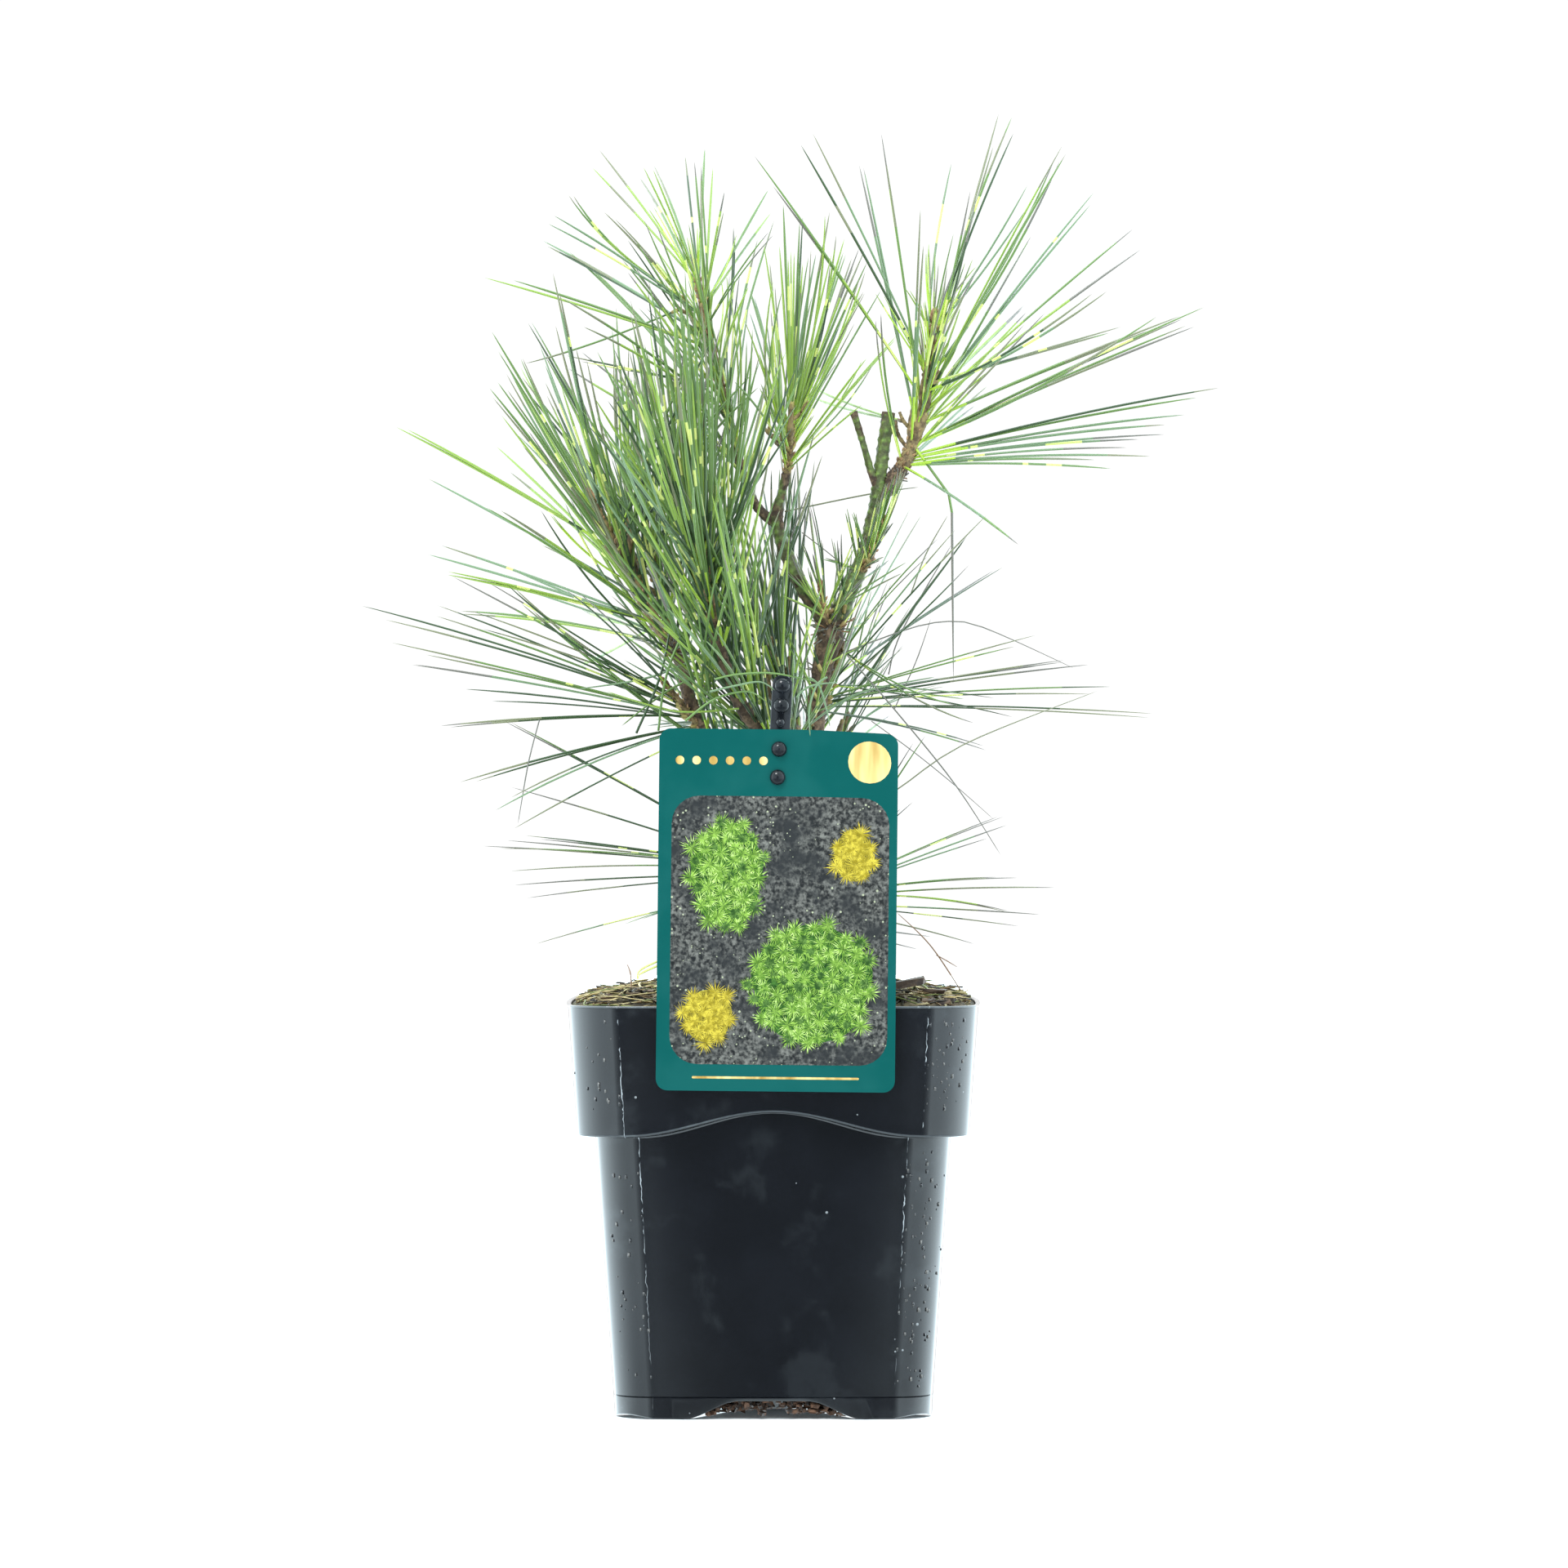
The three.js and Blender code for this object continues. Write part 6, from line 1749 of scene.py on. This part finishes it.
def curled(card, u, v, w=0.0):
    """A place on the card, given across, up and out of its picture, in millimetres."""
    over = max(u - CURL_FROM[0], 0) / CURL_OVER[0] * max(v - CURL_FROM[1], 0) / CURL_OVER[1]
    over = min(over, CURL_MOST)
    return CARD_PLACE @ (Vector((u, v - 1.4 * over, w - card.curl / MM * over**1.6)) * MM)


def bend_with_card(bm, card):
    for vert in bm.verts:
        vert.co = curled(card, *vert.co)


def raise_faces(bm, faces, depth):
    """Extrudes flat faces upwards, and returns the vertices of their tops."""
    top = new_verts(bmesh.ops.extrude_face_region(bm, geom=faces))
    bmesh.ops.translate(bm, verts=top, vec=(0, 0, depth))
    return top


def cut_grid(bm, card):
    """Cuts a flat mesh along a grid, so that it can bend with the card."""
    for axis, size in enumerate((card.width / MM, card.height / MM)):
        for cut in np.arange(-size / 2 + 1 + GRID_STEP, size / 2 - GRID_STEP, GRID_STEP):
            place, across = Vector((0, 0, 0)), Vector((0, 0, 0))
            place[axis] = cut
            across[axis] = 1
            everything = bm.verts[:] + bm.edges[:] + bm.faces[:]
            bmesh.ops.bisect_plane(bm, geom=everything, plane_co=place, plane_no=across)


def build_card(card):
    width, height, corner, thick = (
        value / MM for value in (card.width, card.height, card.corner, card.thickness)
    )
    bm = bmesh.new()
    corners = ((-1, -1), (1, -1), (1, 1), (-1, 1))
    square = [bm.verts.new((x * width / 2, y * height / 2, 0)) for x, y in corners]
    bm.faces.new(square)
    bmesh.ops.bevel(
        bm, geom=square, offset=corner, offset_type="OFFSET", affect="VERTICES", segments=9,
        profile=0.5, material=-1,
    )
    bmesh.ops.inset_region(bm, faces=bm.faces[:], thickness=0.3)
    for face in bm.faces:
        face.material_index = 1 if len(face.verts) == 4 else 0
    cut_grid(bm, card)
    bmesh.ops.translate(bm, verts=bm.verts, vec=(0, 0, -thick / 2))
    bmesh.ops.recalc_face_normals(bm, faces=bm.faces)
    raise_faces(bm, bm.faces[:], thick)
    for face in bm.faces:
        face.normal_update()
        if abs(face.normal.z) < 0.5:
            face.material_index = 1
    bend_with_card(bm, card)
    mesh = finish_bmesh(bm, "picture_card", sharp=40)
    ground = card_print("card_teal", tinted(card.ground, 0.92), tinted(card.ground, 1.06), 30.0)
    edge = card_print("card_edge", (0.55, 0.57, 0.57), (0.75, 0.77, 0.77))
    add_piece("picture_card", mesh, [ground, edge], "card_plastic", "label_card")


def flat_shape(bm, corners, depth, lift, material):
    """A thin raised shape printed on the card."""
    low = [bm.verts.new((*corner, lift)) for corner in corners]
    top = raise_faces(bm, [bm.faces.new(low)], depth)
    for face in {face for vert in low + top for face in vert.link_faces}:
        face.material_index = material


def rounded_box(x, y, width, height, radius, steps):
    """The corners of a rounded rectangle."""
    corners = []
    for cx, cy, start in ((1, 1, 0), (-1, 1, 90), (-1, -1, 180), (1, -1, 270)):
        for k in range(steps + 1):
            angle = math.radians(start + 90 * k / steps)
            corners.append((x + cx * (width / 2 - radius) + radius * math.cos(angle),
                            y + cy * (height / 2 - radius) + radius * math.sin(angle)))
    return corners


def build_card_art(card):
    """A plain badge, gold discs, and a planted gravel bed: raised shapes and small sprigs."""
    front = card.thickness / MM / 2
    bm = bmesh.new()
    for *box, depth, material in PRINT:
        flat_shape(bm, rounded_box(*box), depth, front - 0.02, material)
    for (x, y), wide, high, _, yellow in BUSHES:
        round_spot = [
            (x + 0.94 * wide * math.cos(a) * (1 + 0.05 * math.sin(5 * a)), y + 0.94 * high * math.sin(a))
            for a in np.linspace(0, 2 * math.pi, 36, endpoint=False)
        ]
        flat_shape(bm, round_spot, 0.04, front + 0.04, 3 if yellow else 2)
    cut_grid(bm, card)
    bend_with_card(bm, card)
    add_piece("card_print", finish_bmesh(bm, "card_print", smooth=False), [
        card_gravel(),
        card_print("card_gold", card.gold, (0.68, 0.52, 0.22), 90.0, (1, 1, 0.1), Metallic=0.2),
        card_print("bush_shade", (0.008, 0.03, 0.006), (0.035, 0.1, 0.015), 700.0),
        card_print("bush_gold", (0.09, 0.07, 0.01), (0.25, 0.2, 0.02), 700.0),
    ], "card_plastic")
    build_sprigs(card, front + 0.1)


def build_sprigs(card, front):
    """Rosettes of fine blades for the bed's low bushes."""
    rng = random.Random(77)
    points, triangles, kinds = [], [], []
    for (x, y), wide, high, count, yellow in BUSHES:
        for k in range(count):
            turn = k * math.radians(GOLDEN_ANGLE)
            share = math.sqrt((k + 0.5) / count)
            cx = x + wide * share * math.cos(turn) + rng.uniform(-1, 1)
            cy = y + high * share * math.sin(turn) + rng.uniform(-1, 1)
            size = rng.uniform(4.2, 6.2)
            level = front + 0.02 + 0.12 * rng.random()
            dark = not yellow and rng.random() < 0.36
            for blade in range(SPRIG_BLADES):
                angle = 2 * math.pi * (blade + rng.uniform(-0.4, 0.4)) / SPRIG_BLADES
                length = size * rng.uniform(0.6, 1.0)
                half_width = rng.uniform(0.14, 0.24)
                lift = level + 0.006 * rng.random()
                start = len(points)
                along = Vector((math.cos(angle), math.sin(angle)))
                side = Vector((-along.y, along.x)) * half_width
                for out, off in ((0, 0.3), (0.45, 1), (1, 0), (0.45, -1)):
                    px = cx + along.x * length * out + side.x * off
                    py = cy + along.y * length * out + side.y * off
                    points.append(tuple(curled(card, px, py, lift)))
                triangles += [(start, start + 3, start + 1), (start + 1, start + 3, start + 2)]
                inner = 1 if dark or rng.random() < 0.15 else 0
                outer = 0 if dark else 2 if rng.random() < 0.45 else 0
                kinds += [3, 3] if yellow else [inner, outer]
    arrays = (np.array(stack) for stack in (points, triangles, kinds))
    add_piece("card_sprigs", mesh_from_arrays("card_sprigs", *arrays, smooth=False), [
        card_print("sprig_green", (0.07, 0.15, 0.018), (0.19, 0.31, 0.05), 500.0),
        card_print("sprig_deep", (0.018, 0.05, 0.01), (0.07, 0.14, 0.028), 500.0),
        card_print("sprig_pale", (0.2, 0.31, 0.07), (0.34, 0.45, 0.14), 500.0),
        card_print("sprig_yellow", (0.2, 0.15, 0.01), (0.42, 0.33, 0.035), 500.0),
    ], "card_plastic")


def stake_stations(tip, bend, top):
    """Places up the stake and the share of its full width there, with a round head."""
    half = STAKE["width"] / 2
    length = (top - bend).length
    stations = [(tip, 0.12), (tip.lerp(bend, 0.05), 0.5), (tip.lerp(bend, 0.12), 1.0)]
    stations += [(tip.lerp(bend, share), 1.0) for share in (0.3, 0.5, 0.7, 0.9)]
    stations += [(bend.lerp(top, share), 1.0) for share in (0.08, 0.3, 0.6, 0.86)]
    for k in range(1, 8):
        angle = math.pi / 2 * k / 7.3
        stations.append((top.lerp(bend, (half * (1 - math.sin(angle))) / length), math.cos(angle)))
    return stations


def build_stake(card):
    """The push-in stake with its pegs."""
    tip, bend, top = (Vector(STAKE[key]) for key in ("tip", "bend", "top"))
    half, thick, chamfer = STAKE["width"] / 2, STAKE["thickness"] / 2, STAKE["chamfer"]
    stations = stake_stations(tip, bend, top)
    line = [place for place, _ in stations]
    rings = []
    for i, (place, share) in enumerate(stations):
        along = direction(line, i)
        across = (Vector((1, 0, 0)) - along * along.x).normalized()
        out = along.cross(across)
        inset = min(chamfer, 0.4 * half * share)
        spots = []
        for x, y in ((1, 1), (-1, 1), (-1, -1), (1, -1)):
            long_way = (x * (half * share - inset), y * thick)
            short_way = (x * half * share, y * (thick - chamfer))
            spots += [short_way, long_way] if x * y > 0 else [long_way, short_way]
        rings.append([(place + across * u + out * v) * MM for u, v in spots])
    bm = bmesh.new()
    loft(bm, rings)
    for height, head in STAKE["pegs"]:
        place = top.lerp(bend, (top.z - height) / (top.z - bend.z))
        # Pegs below the card's top go through the card.
        on_card = height < CARD_TOP
        start = thick + (1.2 if on_card else 0)
        add_peg(bm, place, STAKE["peg_radius"] if on_card else head, -0.2, start + 0.4)
        add_peg(bm, place, head, start, start + STAKE["head_height"], domed=True)
    mesh = finish_bmesh(bm, "push_in_stake", sharp=48)
    add_piece("push_in_stake", mesh, [stake_plastic(card)], "stake_plastic", "label_stake")


def add_peg(bm, place, radius, start, end, domed=False):
    """A round peg that points to the front from a place on the stake."""
    turn = Matrix.Translation(place * MM) @ Matrix.Rotation(math.radians(90 + CARD_LEAN), 4, "X")
    if domed:
        size = Matrix.Diagonal((radius, radius, end - start, 1))
        turn = turn @ Matrix.Translation((0, 0, start * MM)) @ size
        bmesh.ops.create_uvsphere(bm, u_segments=28, v_segments=16, radius=MM, matrix=turn)
        return
    bmesh.ops.create_cone(
        bm, cap_ends=True, segments=28, radius1=radius * MM, radius2=radius * MM,
        depth=(end - start) * MM, matrix=turn @ Matrix.Translation((0, 0, (start + end) / 2 * MM)),
    )


# The stage, in metres. Y of the surround runs from -1 in front of the pot to 1 behind it.
FLOOR_RADIUS = 6.0
LIGHTS = (("softbox_left", (-1.15, -0.7, 0.45), (1.1, 1.5), "side_light"),
          ("softbox_right", (1.15, -0.6, 0.45), (1.1, 1.5), "side_light"),
          ("softbox_top", (-0.45, -1.0, 1.5), (0.5, 0.5), "top_light"))
LIGHT_TARGET = Vector((0, 0, 0.25))
FRONT = (-0.98, -0.93)
BACK_WALL = (0.94, 0.985)
SENSOR_WIDTH = 36.0


def floor_finish(stage):
    material, tree, shader, where = start_material("floor", Roughness=0.6)
    feed(tree, shader, mottle(tree, where, 2.0, tinted(stage.floor, 0.985), stage.floor)["Color"])
    return material


def build_floor(stage):
    bm = bmesh.new()
    bmesh.ops.create_circle(bm, cap_ends=True, segments=64, radius=FLOOR_RADIUS)
    mesh = finish_bmesh(bm, "floor", smooth=False)
    if mesh.polygons[0].normal.z < 0:
        mesh.flip_normals()
    floor = link_object("floor", mesh)
    mesh.materials.append(floor_finish(stage))
    floor.visible_glossy = False
    floor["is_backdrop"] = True


def build_surround(stage):
    """A pale room that is dark in front of the pot and bright behind it, with a plain back wall."""
    world = bpy.data.worlds.new("surround")
    world.use_nodes = True
    tree = world.node_tree
    back = tree.nodes["Background"]
    place = tree.nodes.new("ShaderNodeTexCoord").outputs["Generated"]
    way = add_node(tree, "ShaderNodeSeparateXYZ", {0: place}).outputs
    set_input(tree, back.inputs["Color"], blend_colours(
        tree, fit(tree, way["Y"], *BACK_WALL), stage.tint, (1.0, 1.0, 1.0)
    ))
    sides = fit(tree, way["Y"], *FRONT, stage.dark, stage.glow)
    around = times(tree, sides, fit(tree, way["Z"], -0.36, -0.16, 0.2, 1.0))
    behind = fit(tree, way["Y"], -0.9, 0.5, 0.0, stage.back_glow)
    around = calculate(tree, "ADD", around, behind)
    dimmed = fit(tree, way["Y"], *BACK_WALL, 1.0, stage.sky / (stage.glow + stage.back_glow))
    set_input(tree, back.inputs["Strength"], times(tree, around, dimmed))
    bpy.context.scene.world = world


def add_light(name, place, size, power):
    light = bpy.data.lights.new(name, "AREA")
    light.shape = "RECTANGLE"
    light.size, light.size_y = size
    light.energy = power
    lamp = link_object(name, light)
    lamp.location = place
    lamp.visible_glossy = name == "softbox_top"
    lamp.rotation_euler = (LIGHT_TARGET - Vector(place)).to_track_quat("-Z", "Y").to_euler()


def build_stage(stage):
    build_floor(stage)
    build_surround(stage)
    for name, place, size, power in LIGHTS:
        add_light(name, place, size, getattr(stage, power))
    bpy.context.scene.view_settings.view_transform = "Standard"


def build_camera(stage):
    data = bpy.data.cameras.new("front")
    data.lens = stage.lens
    data.sensor_width = SENSOR_WIDTH
    data.sensor_fit = "HORIZONTAL"
    data.clip_end = 30.0
    camera = link_object("front", data)
    camera.location = stage.eye
    camera.rotation_euler = (math.radians(90), 0, 0)
    bpy.context.scene.camera = camera


class PINE_OT_stage(bpy.types.Operator):
    """Sets the floor, the lights and the camera"""

    bl_idname = "pine.stage"
    bl_label = "Stage"

    def execute(self, context):
        settings = context.scene.pine_stage
        build_stage(settings)
        build_camera(settings)
        return {"FINISHED"}


class PINE_OT_pot(bpy.types.Operator):
    """Builds the square nursery pot"""

    bl_idname = "pine.pot"
    bl_label = "Pot"

    def execute(self, context):
        settings = context.scene.pine_pot
        build_pot(settings)
        build_pot_dirt(settings)
        return {"FINISHED"}


class PINE_OT_soil(bpy.types.Operator):
    """Builds the heaped soil and its litter"""

    bl_idname = "pine.soil"
    bl_label = "Soil and litter"

    def execute(self, context):
        scene = context.scene
        build_soil(scene.pine_soil, scene.pine_pot)
        build_litter(scene.pine_soil)
        return {"FINISHED"}


class PINE_OT_limbs(bpy.types.Operator):
    """Builds the trunk and boughs with their bark's relief"""

    bl_idname = "pine.limbs"
    bl_label = "Trunk and boughs"

    def execute(self, context):
        for name, limb in LIMBS.items():
            build_limb(name, limb, context.scene.pine_wood)
        return {"FINISHED"}


class PINE_OT_shoots(bpy.types.Operator):
    """Grows twigs and needles on the boughs"""

    bl_idname = "pine.shoots"
    bl_label = "Shoots and needles"

    def execute(self, context):
        scene = context.scene
        build_shoots(scene.pine_foliage)
        build_strays(scene.pine_foliage)
        return {"FINISHED"}


class PINE_OT_card(bpy.types.Operator):
    """Builds the picture card with its print, and the stake"""

    bl_idname = "pine.card"
    bl_label = "Card and stake"

    def execute(self, context):
        settings = context.scene.pine_card
        build_card(settings)
        build_card_art(settings)
        build_stake(settings)
        return {"FINISHED"}


OPERATORS = (PINE_OT_stage, PINE_OT_pot, PINE_OT_soil, PINE_OT_limbs, PINE_OT_shoots, PINE_OT_card)
SETTINGS = {
    "pine_stage": StageSettings,
    "pine_pot": PotSettings,
    "pine_soil": SoilSettings,
    "pine_wood": WoodSettings,
    "pine_foliage": FoliageSettings,
    "pine_card": CardSettings,
}


class PINE_PT_build(bpy.types.Panel):
    """Lists the steps and their settings"""

    bl_idname = "PINE_PT_build"
    bl_label = "Young potted pine"
    bl_space_type = "VIEW_3D"
    bl_region_type = "UI"
    bl_category = "Pine"

    def draw(self, context):
        for operator in OPERATORS:
            self.layout.operator(operator.bl_idname)
        for name, settings in SETTINGS.items():
            box = self.layout.box()
            box.label(text=name.replace("pine_", "").capitalize())
            for key in settings.__annotations__:
                box.prop(getattr(context.scene, name), key)


def register():
    for kind in (*SETTINGS.values(), *OPERATORS, PINE_PT_build):
        bpy.utils.register_class(kind)
    for name, settings in SETTINGS.items():
        setattr(bpy.types.Scene, name, PointerProperty(type=settings))


def unregister():
    for name in SETTINGS:
        delattr(bpy.types.Scene, name)
    for kind in (PINE_PT_build, *reversed(OPERATORS), *reversed(SETTINGS.values())):
        bpy.utils.unregister_class(kind)


def main():
    register()
    bpy.ops.pine.stage()
    bpy.ops.pine.pot()
    bpy.ops.pine.soil()
    bpy.ops.pine.limbs()
    bpy.ops.pine.shoots()
    bpy.ops.pine.card()
    sizes = [[[float(value) for value in corner] for corner in box] for box in (CAD_BOX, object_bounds())]


if __name__ == "__main__":
    main()
